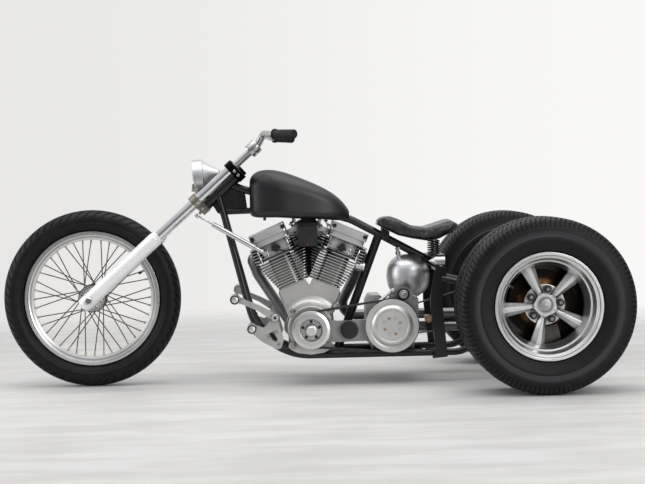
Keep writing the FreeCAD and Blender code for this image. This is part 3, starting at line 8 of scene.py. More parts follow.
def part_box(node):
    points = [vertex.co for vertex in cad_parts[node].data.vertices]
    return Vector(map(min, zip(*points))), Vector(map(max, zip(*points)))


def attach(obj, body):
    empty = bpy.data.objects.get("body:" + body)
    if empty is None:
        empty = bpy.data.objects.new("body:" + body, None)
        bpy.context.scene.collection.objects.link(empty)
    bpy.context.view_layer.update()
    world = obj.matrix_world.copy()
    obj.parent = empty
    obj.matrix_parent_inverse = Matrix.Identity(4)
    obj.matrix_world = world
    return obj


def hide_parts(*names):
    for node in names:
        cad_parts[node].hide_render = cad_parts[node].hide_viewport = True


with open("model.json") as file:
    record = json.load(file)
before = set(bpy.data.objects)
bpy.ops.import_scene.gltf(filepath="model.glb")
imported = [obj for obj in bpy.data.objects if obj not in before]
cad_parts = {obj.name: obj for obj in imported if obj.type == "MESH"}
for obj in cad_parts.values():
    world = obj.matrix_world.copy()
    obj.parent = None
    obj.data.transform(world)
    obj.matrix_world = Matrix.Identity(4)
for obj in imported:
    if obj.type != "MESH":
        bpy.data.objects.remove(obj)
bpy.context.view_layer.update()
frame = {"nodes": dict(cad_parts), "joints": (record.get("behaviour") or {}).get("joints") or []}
nodes = frame["nodes"]
print("frame loaded:", len(nodes), "nodes")


def middleOf(node):
    low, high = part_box(node)
    return (low + high) / 2


frontAxle = middleOf("front_hub")
rearAxle = middleOf("rear_left_wheel")
crank = middleOf("engine_pulley")
clutchAxle = middleOf("clutch")
vee = {"x": -0.014, "z": 0.23, "lean": math.radians(22.5), "flank": 0.078}  # the cylinders' V and its side


def tone(red, green, blue):  # written as a screen shows it, from 0 to 255
    return tuple(part / 255 / 12.92 if part < 10.3 else ((part / 255 + 0.055) / 1.055) ** 2.4
                 for part in (red, green, blue)) + (1,)


def asLight(colour):  # three numbers are a screen's tone; four, or a wire, stay as they are
    return tone(*colour) if isinstance(colour, tuple) and len(colour) == 3 else colour


class Wire:  # a shader socket that can be added, multiplied and so on
    def __init__(self, tree, socket=None):
        self.tree = tree
        self.socket = socket

    def add(self, kind, sockets=None, out=0, **settings):
        made = self.tree.nodes.new(kind)
        for name, value in settings.items():
            setattr(made, name, value)
        for name, value in (sockets or {}).items():
            if isinstance(value, Wire):
                self.tree.links.new(value.socket, made.inputs[name])
            else:
                made.inputs[name].default_value = value
        return Wire(self.tree, made.outputs[out])

    def sum(self, operation, *others):
        return self.add("ShaderNodeMath", dict(enumerate((self,) + others)), operation=operation)

    def sumAfter(self, operation, first):
        return self.add("ShaderNodeMath", {0: first, 1: self}, operation=operation)

    def __add__(self, other):
        return self.sum("ADD", other)

    def __radd__(self, other):
        return self.sumAfter("ADD", other)

    def __sub__(self, other):
        return self.sum("SUBTRACT", other)

    def __rsub__(self, other):
        return self.sumAfter("SUBTRACT", other)

    def __mul__(self, other):
        return self.sum("MULTIPLY", other)

    def __rmul__(self, other):
        return self.sumAfter("MULTIPLY", other)

    def __pow__(self, other):
        return self.sum("POWER", other)

    def __abs__(self):
        return self.sum("ABSOLUTE")

    def step(self, low, high):  # 0 at low, 1 at high, smooth between them
        return self.add("ShaderNodeMapRange", {"Value": self, "From Min": low, "From Max": high},
                        interpolation_type="SMOOTHSTEP")

    def wave(self, rate):  # from 0 to 1 and back
        return (self * rate).sum("SINE") * 0.5 + 0.5

    def part(self, axis):
        return self.add("ShaderNodeSeparateXYZ", {"Vector": self}, axis)

    def stretch(self, scale, turn=(0, 0, 0)):
        return self.add("ShaderNodeMapping", {"Vector": self, "Scale": scale, "Rotation": turn})

    def noise(self, scale, detail=2, rough=0.5):
        return self.add("ShaderNodeTexNoise",
                        {"Vector": self, "Scale": scale, "Detail": detail, "Roughness": rough})

    def grain(self, scale, detail):  # the same along one number only
        return self.add("ShaderNodeTexNoise", {"W": self, "Scale": scale, "Detail": detail},
                        noise_dimensions="1D")

    def between(self, first, second):
        return self.add("ShaderNodeMix", {0: self, 6: asLight(first), 7: asLight(second)}, 2,
                        data_type="RGBA")

    def offAxle(self, centre):  # distance from an axle that runs across the trike
        return ((self.part(0) - centre[0]) ** 2 + (self.part(2) - centre[2]) ** 2) ** 0.5

    def paintedShade(self, reach):  # ambient-occlusion mask for painted shade: 0 deep in a gap, 1 in the open
        return self.add("ShaderNodeAmbientOcclusion", {"Distance": reach}, "AO", samples=6).step(0.3, 0.92)

    def bump(self, depth, strength):
        return self.add("ShaderNodeBump", {"Height": self, "Distance": depth, "Strength": strength})


# Finishes: each maker gives the shader's fixed values, then the wires that feed it.
feeds = {"colour": "Base Color", "rough": "Roughness", "coat": "Coat Weight", "normal": "Normal"}
bare = {"Metallic": 1}


def newFinish(name, maker, *settings):
    finish = bpy.data.materials.new(name)
    finish.use_nodes = True
    tree = finish.node_tree
    shader = tree.nodes["Principled BSDF"]
    steady, wires = maker(Wire(tree).add("ShaderNodeTexCoord", out="Object"), *settings)
    for socket, value in steady.items():
        shader.inputs[socket].default_value = value
    for socket, wire in wires.items():
        tree.links.new(wire.socket, shader.inputs[feeds[socket]])
    return finish


def satinPaint(place, dark, light, rough):
    drift = place.noise(9, 4)
    dust = place.noise(70, 6, 0.7).step(0.56, 0.78)
    return {"Specular IOR Level": 0.5, "Coat Roughness": 0.22}, dict(
        colour=(drift * 0.6 + dust * 0.4).between(dark, light), rough=rough + drift * 0.12 + dust * 0.1,
        coat=0.12 - dust * 0.08, normal=place.noise(520, 1).bump(0.00025, 0.35))


def blastedMetal(place, dark, light, rough, grainScale=900, metal=1):
    cloud = place.noise(16, 5, 0.6)
    fine = place.noise(grainScale, 2)
    stain = place.noise(38, 8, 0.75).step(0.58, 0.8)
    silver = (stain * 0.75).between(cloud.between(dark, light), (96, 92, 86))
    # painted shade: ambient occlusion darkens gaps and recesses towards dark grey
    return {"Metallic": metal}, dict(
        colour=place.paintedShade(0.03).between((38, 38, 38), silver),
        rough=rough + cloud * 0.12 + stain * 0.12 + fine * 0.05, normal=fine.bump(0.00022, 0.5))


def finnedMetal(place):  # painted shade: dark in the gaps between fins and inside the V, less dark in the gaps low down, plus ambient-occlusion shade; the fins' edges keep the bright metal tone
    cloud = place.noise(30, 6, 0.65)
    edge = abs(place.part(1)).step(0.0655, 0.0705)
    # painted shade in the gaps between fins, darkest high up
    gap = place.part(2).step(0.58, 0.44).between((36, 36, 37), (136, 135, 132))
    fin = cloud.between((196, 196, 194), (244, 244, 242))
    rise = place.part(2) - vee["z"]
    across = abs(place.part(0) - vee["x"]) * math.cos(vee["lean"]) - rise * math.sin(vee["lean"])
    # painted shade on the fins inside the V
    inner = across.step(-0.038, -0.046)
    return bare, dict(
        colour=(edge * (place.paintedShade(0.035) * 0.6 + 0.4) * (1 - inner * 0.72)).between(gap, fin),
        rough=0.26 + cloud * 0.16, normal=place.noise(700, 2).bump(0.0002, 0.4))


def brushedMetal(place, dark, light, rough, stretch):
    lines = place.stretch(stretch).noise(1, 4, 0.65)
    cloud = place.noise(11, 4)
    return bare, dict(colour=(lines * 0.7 + cloud * 0.3).between(dark, light),
                      rough=rough + lines * 0.16 + cloud * 0.06, normal=lines.bump(0.00012, 0.5))


def turnedMetal(place, dark, light, rough, centre, grooves=1500):
    rings = place.offAxle(centre).grain(grooves, 3)
    cloud = place.noise(22, 5, 0.6)
    silver = (rings * 0.5 + cloud * 0.5).between(dark, light)
    # painted shade: ambient occlusion darkens gaps and recesses towards near black
    return bare, dict(colour=place.paintedShade(0.03).between((34, 34, 34), silver),
                      rough=rough + rings * 0.14 + cloud * 0.1, normal=rings.bump(0.00012, 0.5))


def polishedMetal(place, dark, light, rough):
    cloud = place.noise(14, 5, 0.6)
    wipe = place.stretch((30, 220, 260), (0.3, 0.2, 0.5)).noise(1, 3)
    return bare, dict(colour=(cloud * 0.6 + wipe * 0.4).between(dark, light),
                      rough=rough + cloud.step(0.45, 0.75) * 0.1 + wipe * 0.05)


def lacedMetal(place):  # silver hub, browner spokes out from it
    cloud = place.noise(60, 4, 0.6)
    spoke = place.offAxle(frontAxle).step(0.05, 0.054)
    hub = cloud.between((206, 206, 205), (244, 244, 243))
    return bare, dict(colour=spoke.between(hub, cloud.between((66, 58, 50), (126, 114, 100))),
                      rough=0.22 + spoke * 0.2 + cloud * 0.06)


def clampMetal(place):  # bronze-silver below, black at the upper yoke
    cloud = place.noise(40, 5, 0.6)
    upper = place.part(2).step(0.79, 0.81)
    bronze = cloud.between((112, 105, 96), (182, 174, 162))
    return bare, dict(colour=upper.between(bronze, (18, 18, 19)), rough=0.3 + cloud * 0.14)


def pipeMetal(place):  # sooty, warmer high up where it leaves the heads
    lines = place.stretch((14, 420, 420)).noise(1, 4, 0.7)
    soot = place.noise(13, 7, 0.7)
    heat = place.part(2).step(0.24, 0.46)
    base = (lines * 0.6 + soot * 0.4).between((64, 65, 67), (178, 179, 181))
    return bare, dict(colour=(heat * soot * 0.15).between(base, (120, 106, 92)),
                      rough=0.2 + lines * 0.14 + soot * 0.14, normal=lines.bump(0.0001, 0.5))


def rubber(place, dark, light, rough, grainScale=700):
    dust = place.noise(26, 7, 0.7)
    plain = dust.step(0.3, 0.75).between(dark, light)
    # painted shade: ambient occlusion darkens grooves and crevices towards black
    return {"Specular IOR Level": 0.22}, dict(
        colour=place.paintedShade(0.012).between((6, 6, 7), plain), rough=rough + dust * 0.14,
        normal=place.noise(grainScale, 2).bump(0.0003, 0.45))


def ringedRubber(place):  # the sidewall's raised ring: a painted sheen in its lighter bluish colour, a real one in its lower roughness and coat; dusty tread; painted ambient-occlusion shade in the grooves
    dust = place.noise(26, 7, 0.7)
    reach = place.offAxle(rearAxle)
    ring = reach.step(0.262, 0.267) * reach.step(0.294, 0.276)
    plain = dust.step(0.3, 0.75).between((7, 7, 9), (20, 20, 22))
    # painted sheen: the raised ring's colour lightened to a bluish grey
    sheen = (ring * 0.8).between(plain, (42, 43, 48))
    tread = (reach.step(0.312, 0.33) * dust.step(0.3, 0.6)).between(sheen, (33, 32, 31))
    return {"Specular IOR Level": 0.25, "Coat Roughness": 0.3}, dict(
        colour=place.paintedShade(0.012).between((3, 3, 4), tread), rough=0.42 + dust * 0.12 - ring * 0.18,
        coat=ring * 0.5, normal=place.noise(700, 2).bump(0.0003, 0.45))


def rimMetal(place):  # bright lips with darker bands between them
    reach = place.offAxle(frontAxle)
    bands = (reach.step(0.26, 0.257) * reach.step(0.25, 0.253) * 0.6
             + reach.step(0.269, 0.2672) * reach.step(0.264, 0.2658) * 0.35)
    rings = reach.grain(420, 2)
    cloud = place.noise(18, 5, 0.6)
    silver = (rings * 0.4 + cloud * 0.6).between((188, 188, 187), (236, 236, 235))
    return bare, dict(colour=(bands + cloud * 0.1).between(silver, (112, 111, 110)),
                      rough=0.22 + cloud * 0.14, normal=rings.bump(0.00002, 0.3))


def wheelMetal(place):  # bright rim and spokes, duller cap; black deep inside the barrel, partly the barrel's own black and partly painted shade, plus ambient-occlusion shade
    reach = place.offAxle(rearAxle)
    rings = reach.grain(1500, 3)
    cloud = place.noise(22, 5, 0.6)
    depth = abs(place.part(1)).step(0.452, 0.486)
    cap = reach.step(0.04, 0.03)
    bright = (rings * 0.5 + cloud * 0.5).between((198, 198, 197), (238, 238, 237))
    silver = (cap * 0.8).between(bright, (150, 150, 150))
    # painted shade: black deep inside the barrel, where the barrel is also dark of its own, and in gaps by
    # ambient occlusion
    return bare, dict(colour=(depth * (place.paintedShade(0.04) * 0.7 + 0.3)).between((14, 13, 13), silver),
                      rough=0.2 + rings * 0.12 + cloud * 0.1 + cap * 0.1, normal=rings.bump(0.00012, 0.5))


def discMetal(place):  # bronze disc darkened by painted shade, except in patches near its hub
    reach = place.offAxle(rearAxle)
    rings = reach.grain(900, 3)
    # painted shade: the bronze disc is dark except in patches near its hub
    unshadedBronze = reach.step(0.104, 0.082) * place.noise(9, 3).step(0.35, 0.6)
    return bare, dict(colour=unshadedBronze.between((26, 22, 19), rings.between((112, 78, 44), (176, 128, 78))),
                      rough=0.34 + rings * 0.14)


def beltRubber(place):
    wear = place.noise(60, 5, 0.7)
    return {"Specular IOR Level": 0.4}, dict(
        colour=wear.step(0.35, 0.75).between((20, 20, 21), (52, 50, 48)), rough=0.5 + wear * 0.2,
        normal=place.part(1).wave(2400).bump(0.0002, 0.5))


def grainedLeather(place):
    cells = place.add("ShaderNodeTexVoronoi", {"Vector": place, "Scale": 420}, feature="F1")
    creases = place.noise(48, 7, 0.6)
    worn = place.noise(8, 3)
    return {"Specular IOR Level": 0.5, "Sheen Weight": 0.12, "Sheen Roughness": 0.4}, dict(
        colour=(creases * 0.5 + worn * 0.5).step(0.35, 0.75).between((9, 8, 10), (36, 33, 34)),
        rough=0.34 + creases * 0.16 + cells * 0.12, coat=0.2 + worn * 0.15,
        normal=(cells * 0.5 + creases * 0.8).bump(0.0006, 0.5))


def clearGlass(place):
    smear = place.noise(32, 4)
    return {"Transmission Weight": 0.9, "IOR": 1.48}, dict(
        colour=smear.between((236, 240, 242), (250, 251, 252)), rough=0.03 + smear.step(0.5, 0.8) * 0.05,
        normal=place.part(1).wave(620).bump(0.0006, 0.5))


def mouldedPlastic(place, dark, light):
    scuff = place.noise(44, 6, 0.7)
    return {"Specular IOR Level": 0.5}, dict(
        colour=scuff.step(0.4, 0.8).between(dark, light), rough=0.34 + scuff * 0.2,
        normal=place.noise(600, 2).bump(0.0002, 0.4))


def chainMetal(place):
    oil = place.noise(90, 6, 0.7)
    return bare, dict(
        colour=(oil * 0.6 + place.part(0).wave(500) * 0.4).between((52, 48, 44), (158, 154, 148)),
        rough=0.3 + oil * 0.25, normal=oil.bump(0.0004, 0.5))


looks = {  # finish: the CAD nodes that wear it, its maker, the maker's settings
    "framePaint": (
        ["frame_neck", "frame_backbone", "frame_downtubes", "frame_bottom_rails", "frame_seat_post",
         "frame_uprights", "frame_axle_stays", "seat_perch", "rear_axle_housing", "seat_base"],
        satinPaint, (6, 6, 7), (22, 22, 25), 0.28),
    "tankPaint": (["fuel_tank"], satinPaint, (8, 8, 11), (24, 24, 30), 0.36),
    "blastedSilver": (["cylinder_heads", "gearbox", "foot_controls"],
                      blastedMetal, (168, 168, 166), (212, 212, 210), 0.34),
    "rockerSilver": (["rocker_boxes"], blastedMetal, (196, 196, 195), (230, 230, 229), 0.3, 600),
    "caseSilver": (["crankcase"], turnedMetal, (168, 167, 164), (222, 221, 218), 0.3, crank, 700),
    "pulleySilver": (["engine_pulley"], turnedMetal, (190, 190, 188), (238, 238, 236), 0.17, crank),
    "clutchSilver": (["clutch"], turnedMetal, (178, 178, 176), (226, 226, 224), 0.28, clutchAxle),
    "frontRimSilver": (["front_rim"], rimMetal),
    "rearWheelSilver": (["rear_left_wheel", "rear_right_wheel"], wheelMetal),
    "discBronze": (["rear_left_brake_disc", "rear_right_brake_disc"], discMetal),
    "plateSilver": (["motor_plate"],
                    brushedMetal, (120, 120, 120), (176, 176, 175), 0.36, (40, 300, 600)),
    "forkSilver": (["fork_sliders"], blastedMetal, (236, 237, 238), (250, 250, 250), 0.36, 700, 0.35),
    "barSilver": (["handlebars"],
                  brushedMetal, (150, 150, 150), (205, 205, 204), 0.26, (500, 500, 500)),
    "finSilver": (["cylinders"], finnedMetal),
    "calliperSteel": (["brake_callipers"], polishedMetal, (22, 21, 20), (112, 108, 104), 0.22),
    "tankSilver": (["oil_tank", "tail_lamps", "headlamp_shell"],
                   brushedMetal, (186, 187, 189), (222, 223, 225), 0.3, (90, 90, 14)),
    "clampSilver": (["fork_clamps"], clampMetal),
    "lacedSilver": (["front_hub"], lacedMetal),
    "polishedSilver": (["carburettor", "damper_barrel"],
                       polishedMetal, (205, 205, 204), (238, 238, 237), 0.16),
    "chromePlate": (["fork_tubes", "front_axle", "pushrod_tubes", "damper_rod"],
                    polishedMetal, (214, 215, 217), (240, 241, 243), 0.05),
    "pipeSteel": (["exhaust_pipes"], pipeMetal),
    "frontRubber": (["front_tyre"], rubber, (8, 9, 11), (22, 23, 25), 0.42),
    "rearRubber": (["rear_left_tyre", "rear_right_tyre"], ringedRubber),
    "gripRubber": (["handle_grips"], rubber, (18, 18, 19), (46, 46, 47), 0.55, 420),
    "beltRubber": (["primary_belt"], beltRubber),
    "chainSteel": (["final_drive"], chainMetal),
    "seatLeather": (["seat_pad"], grainedLeather),
    "lampGlass": (["headlamp_lens"], clearGlass),
    "coilPlastic": (["ignition_coil"], mouldedPlastic, (15, 15, 16), (38, 38, 40)),
    # also worn by the black discs and plate that stand for shade in holes, bores, nut seats and the V
    "blackPlasticAndShade": ([], mouldedPlastic, (9, 9, 10), (24, 24, 25)),
    "nippleBrass": ([], polishedMetal, (150, 136, 118), (196, 186, 170), 0.24),
    "boltSteel": ([], polishedMetal, (140, 134, 126), (196, 192, 186), 0.22),
    "copperTip": ([], polishedMetal, (150, 86, 62), (190, 120, 90), 0.3),
    "springBlack": ([], satinPaint, (8, 8, 9), (22, 22, 23), 0.25),
    "collarSilver": ([], polishedMetal, (168, 168, 167), (214, 214, 213), 0.24),
    "pegSilver": ([], polishedMetal, (206, 206, 204), (238, 238, 236), 0.3),
    "bronzeBolt": ([], polishedMetal, (148, 126, 98), (196, 172, 138), 0.28),
    "frostedBulb": ([], clearGlass),
    "redLens": ([], mouldedPlastic, (104, 10, 8), (150, 18, 14)),
}
finishes = {name: newFinish(name, *made) for name, (worn, *made) in looks.items()}


def wear(piece, finish):
    piece.data.materials.clear()
    piece.data.materials.append(finishes[finish])


for finish, (worn, *made) in looks.items():
    for node in worn:
        wear(nodes[node], finish)
print("finishes made:", len(finishes))

# Modelling: a primitive or a single point is shaped by operators, then its place goes into its mesh.
upright, leftward = (0, 0, 1), (0, 1, 0)
weld = 0.00001


def clearPicks():
    if bpy.context.object and bpy.context.object.mode == "EDIT":
        bpy.ops.object.mode_set(mode="OBJECT")
    bpy.ops.object.select_all(action="DESELECT")


def hold(piece):
    clearPicks()
    piece.select_set(True)
    bpy.context.view_layer.objects.active = piece
    return piece


def edit(kind="VERT"):  # everything in the held piece, ready for an operator
    bpy.ops.object.mode_set(mode="EDIT")
    bpy.ops.mesh.select_mode(type=kind)
    bpy.ops.mesh.select_all(action="SELECT")


def endEdit(merge=0):  # merges what meets and turns the normals outwards
    bpy.ops.mesh.select_all(action="SELECT")
    if merge:
        bpy.ops.mesh.remove_doubles(threshold=merge)
    bpy.ops.mesh.normals_make_consistent(inside=False)
    bpy.ops.object.mode_set(mode="OBJECT")


def begin(kind, name, **words):
    clearPicks()
    getattr(bpy.ops.mesh, "primitive_" + kind + "_add")(**words)
    piece = bpy.context.object
    piece.name = piece.data.name = name
    return piece


def settle(piece, spot=None, way=None):  # local Z turned to way, then moved to spot
    if way is not None:
        piece.rotation_euler = Vector(way).to_track_quat("Z", "Y").to_euler()
    if spot is not None:
        piece.location = spot
    hold(piece)
    bpy.ops.object.transform_apply(location=True, rotation=True, scale=True)
    return piece


def spun(name, profile, spot=(0, 0, 0), way=upright, steps=32):  # profile: radius and height in millimetres
    rows = [(radius / 1000, height / 1000) for radius, height in profile]
    piece = begin("plane", name, size=0.01)
    edit()
    bpy.ops.mesh.merge(type="CENTER")
    bpy.ops.transform.translate(value=(rows[0][0], 0, rows[0][1]))
    for here, there in zip(rows, rows[1:]):
        bpy.ops.mesh.extrude_region_move(
            TRANSFORM_OT_translate={"value": (there[0] - here[0], 0, there[1] - here[1])})
    bpy.ops.mesh.select_all(action="SELECT")
    bpy.ops.mesh.spin(steps=steps, angle=math.tau, center=(0, 0, 0), axis=upright)
    endEdit(weld)
    return settle(piece, spot, way)


def joined(name, pieces):
    clearPicks()
    for piece in pieces:
        piece.select_set(True)
    bpy.context.view_layer.objects.active = pieces[0]
    if len(pieces) > 1:
        bpy.ops.object.join()
    pieces[0].name = pieces[0].data.name = name
    return pieces[0]


def copied(piece, moves):  # one copy with its own mesh for each move; the first piece goes
    twins = []
    for move in moves:
        hold(piece)
        bpy.ops.object.duplicate(linked=False)
        twin = bpy.context.object
        twin.matrix_world = move
        twins.append(settle(twin))
    name = piece.name
    bpy.data.objects.remove(piece)
    return joined(name, twins)


def aimed(spot, way=leftward):  # the move that stands a piece drawn along Z at spot
    return Matrix.Translation(spot) @ Vector(way).to_track_quat("Z", "Y").to_matrix().to_4x4()


def pickFaces(piece, test):  # in edit mode: selects the faces whose middle and normal pass
    bpy.ops.mesh.select_mode(type="FACE")
    bpy.ops.mesh.select_all(action="DESELECT")
    shape = bmesh.from_edit_mesh(piece.data)
    for face in shape.faces:
        if test(face.calc_center_median(), face.normal):
            face.select_set(True)
    bmesh.update_edit_mesh(piece.data)


def refine(piece, kind, **settings):
    hold(piece)
    made = piece.modifiers.new(kind.lower(), kind)
    for name, value in settings.items():
        setattr(made, name, value)
    bpy.ops.object.modifier_apply(modifier=made.name)
    return piece


def tube(name, points, radius):  # smooth line through given points, then a mesh
    line = bpy.data.curves.new(name, "CURVE")
    line.dimensions = "3D"
    line.bevel_depth = radius
    line.bevel_resolution = 3
    line.use_fill_caps = True
    run = line.splines.new("NURBS")
    run.points.add(len(points) - 1)
    for point, place in zip(run.points, points):
        point.co = (*place, 1)
    run.use_endpoint_u = True
    run.order_u = 3
    run.resolution_u = 8
    piece = bpy.data.objects.new(name, line)
    bpy.context.scene.collection.objects.link(piece)
    hold(piece)
    bpy.ops.object.convert(target="MESH")
    piece = bpy.context.object
    piece.data.name = name
    edit()
    endEdit(weld)
    return piece


def hung(piece, finish, smooth=35, body="root"):
    wear(piece, finish)
    hold(piece)
    bpy.ops.object.shade_smooth_by_angle(angle=math.radians(smooth))
    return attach(piece, body)


def hexHead(name, across, height):  # chamfered six-sided head on a washer, in millimetres
    radius = across / 2 / math.cos(math.radians(30))
    head = spun(name, [(0, 0), (radius, 0), (radius, height * 0.8), (radius * 0.84, height), (0, height)],
                steps=6)
    washer = spun(name + "Washer", [(0, 0), (radius * 1.25, 0), (radius * 1.25, height * 0.14),
                                    (radius * 1.15, height * 0.22), (0, height * 0.22)], steps=20)
    return joined(name, [head, washer])


def capScrew(name, radius, height, steps=18):  # round head with a recess, in millimetres
    return spun(name, [(0, 0), (radius, 0), (radius, height * 0.85), (radius * 0.88, height),
                       (radius * 0.5, height), (radius * 0.45, height * 0.45), (0, height * 0.4)],
                steps=steps)


def onCircle(centre, radius, degrees, y):  # a spot beside an axle that runs across the trike
    angle = math.radians(degrees)
    return Vector((centre.x + math.cos(angle) * radius, y, centre.z + math.sin(angle) * radius))


def ringOf(piece, count, centre, y, radius, first=0, way=leftward):  # copies round such an axle
    return copied(piece, [aimed(onCircle(centre, radius, first + 360 * index / count, y), way)
                          for index in range(count)])


def skin(x, z, *names, side=1):  # how far out the named nodes' surface stands at x, z
    found = []
    for name in names:
        back = nodes[name].matrix_world.inverted()
        start, toward = back @ Vector((x, side * 2, z)), back.to_3x3() @ Vector((0, -side, 0))
        hit, place, facing, face = nodes[name].ray_cast(start, toward)
        if hit:
            found.append(side * (nodes[name].matrix_world @ place).y)
    return side * max(found)


# Tyres: half a cross-section is drawn, mirrored and spun; then grooves are pressed into the tread.
frontTread = {
    "steps": 360, "grooveEvery": 6, "grooveDepth": 0.0032, "grooveFrom": 0.338, "grooveTo": 0.3632,
    "slant": 220, "farShift": 3,
    "half": [(268.5, 23.6), (279, 23.8), (282.2, 29), (288, 38.2), (294, 44), (301, 48.6), (308, 51.2),
             (309.8, 53), (312.2, 53.2), (313.8, 52), (322, 53.2), (331, 52.4), (338, 50), (343, 47),
             (348, 43.2), (352.8, 38.4), (356.8, 32.8), (360, 26.8), (361.6, 22.6), (357.2, 21.8),
             (357.6, 18.6), (363, 17.8), (364.2, 13), (364.8, 8), (365, 4), (360.6, 3.4), (360.6, 0)],
}
rearTread = {
    "steps": 540, "grooveEvery": 5, "grooveDepth": 0.0036, "grooveFrom": 0.304, "grooveTo": 0.3402,
    "slant": 220 * 0.36, "farShift": 0,
    "half": [(198.5, 109.4), (209, 109.8), (210.4, 114), (214, 117.6), (219, 119), (220.5, 117.6)]
    + [(226 + 3 * step, 118.4 + 0.8 * step + 0.6 * (step % 2)) for step in range(11)]
    + [(264, 126.2), (266, 127.6), (270, 127.9), (271.6, 126.8), (284, 127.5), (296, 126.8), (306, 125),
       (312, 123.8), (319, 122), (325, 119.4), (330, 115.8), (334.5, 110.4), (337.2, 104), (338.6, 96.8),
       (339, 90), (332.2, 89.2), (332.2, 85.2), (339.2, 84.4), (339.6, 76), (339.7, 66), (333, 65.2),
       (333, 61.2), (339.8, 60.4), (339.9, 50), (340, 40), (333.2, 39.2), (333.2, 35.2), (340, 34.4),
       (340, 22), (340, 10), (334.6, 9.2), (334.6, 0)],
}


def groovedTyre(node, tread, body, finish):
    centre = middleOf(node)
    half = tread["half"]
    profile = [(radius, -height) for radius, height in half] + half[-2::-1]
    piece = spun(node + "Rubber", profile + profile[:1], centre, leftward, tread["steps"])
    turn = math.tau / tread["steps"]

    def inGroove(middle, normal):
        across = middle - centre
        radius = math.hypot(across.x, across.z)
        if not tread["grooveFrom"] < radius < tread["grooveTo"] or abs(normal.y) > 0.995:
            return False
        step = int((math.atan2(across.z, across.x) + math.pi) / turn)
        shift = int(abs(across.y) * tread["slant"]) + (tread["farShift"] if across.y < 0 else 0)
        return (step + shift) % tread["grooveEvery"] == 0
    bpy.ops.object.mode_set(mode="EDIT")
    pickFaces(piece, inGroove)
    bpy.ops.mesh.extrude_region_shrink_fatten(TRANSFORM_OT_shrink_fatten={"value": -tread["grooveDepth"]})
    bpy.ops.object.mode_set(mode="OBJECT")
    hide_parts(node)
    return hung(piece, finish, 28, body)


groovedTyre("front_tyre", frontTread, "front_wheel", "frontRubber")
groovedTyre("rear_left_tyre", rearTread, "rear_left_wheel", "rearRubber")
groovedTyre("rear_right_tyre", rearTread, "rear_right_wheel", "rearRubber")
print("tyres grooved")

# Front wheel: a nipple on each spoke's end, black discs of painted shade for the holes in the hub's flange,
# a valve, the axle's end rings.
lacing = {"count": 40, "rimRadius": 0.242, "rimHalf": 0.007, "flangeRadius": 0.052, "flangeHalf": 0.03,
          "lean": 38, "nipple": 3.8, "length": 16, "valveTurn": 153, "holes": 24, "holeRing": 0.047,
          "hole": 2.4}
nipples = []
for index in range(lacing["count"]):
    side = 1 if index % 2 == 0 else -1
    lean = 1 if index // 2 % 2 else -1
    atRim = -360 * index / lacing["count"]
    outer = onCircle(frontAxle, lacing["rimRadius"], atRim, side * lacing["rimHalf"])
    inner = onCircle(frontAxle, lacing["flangeRadius"], atRim - lean * lacing["lean"],
                     side * (lacing["flangeHalf"] + lean * 0.002))
    nipples.append(aimed(outer, inner - outer))
radius, length = lacing["nipple"], lacing["length"]
nipple = spun("spokeNipples", [(0, -3), (radius * 1.2, -3), (radius * 1.2, 1), (radius, 3),
                               (radius, length * 0.8), (radius * 0.7, length), (0, length)], steps=10)
hung(copied(nipple, nipples), "nippleBrass", body="front_wheel")


def valveStem(name, centre, y, radius, turn, side, body):
    angle = math.radians(turn)
    inward = Vector((-math.cos(angle), side * 0.35, -math.sin(angle)))
    stem = spun(name, [(0, -4), (6.2, -4), (6.2, 3), (3.8, 5), (3.8, 20), (0, 20)], steps=14)
    cap = spun(name + "Cap", [(4, 13), (5.6, 13), (5.6, 26), (4.4, 28), (0, 28), (0, 20.4), (4, 20.4),
                              (4, 13)], steps=14)
    for piece, finish in ((stem, "boltSteel"), (cap, "blackPlasticAndShade")):
        piece.matrix_world = aimed(onCircle(centre, radius, turn, y), inward)
        hung(settle(piece), finish, body=body)


flangeSpots = [onCircle(frontAxle, lacing["holeRing"], angle, 0) for angle in range(0, 360, 15)]
flangeFace = min(skin(spot.x, spot.z, "front_hub") for spot in flangeSpots)
# black discs on the flange stand for its holes: painted shade
hole = spun("flangeHoleShades", [(0, 0.4), (lacing["hole"], 0.4), (lacing["hole"], -1), (0, -1)], steps=10)
hung(ringOf(hole, lacing["holes"], frontAxle, flangeFace, lacing["holeRing"], 4), "blackPlasticAndShade",
     body="front_wheel")
valveStem("frontValve", frontAxle, frontAxle.y, lacing["rimRadius"], lacing["valveTurn"], 0, "front_wheel")
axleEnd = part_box("front_axle")[1].y
for mark, side in (("Left", 1), ("Right", -1)):
    ring = spun("axleEnd" + mark, [(4.6, 0.4), (4.6, 3.4), (11.8, 3.4), (13.2, 1.8), (13.2, 0), (0, 0),
                                   (0, 0.4), (4.6, 0.4)],
                (frontAxle.x, side * axleEnd, frontAxle.z), (0, side, 0), 28)
    hung(ring, "chromePlate", body="fork")
print("front wheel detailed")

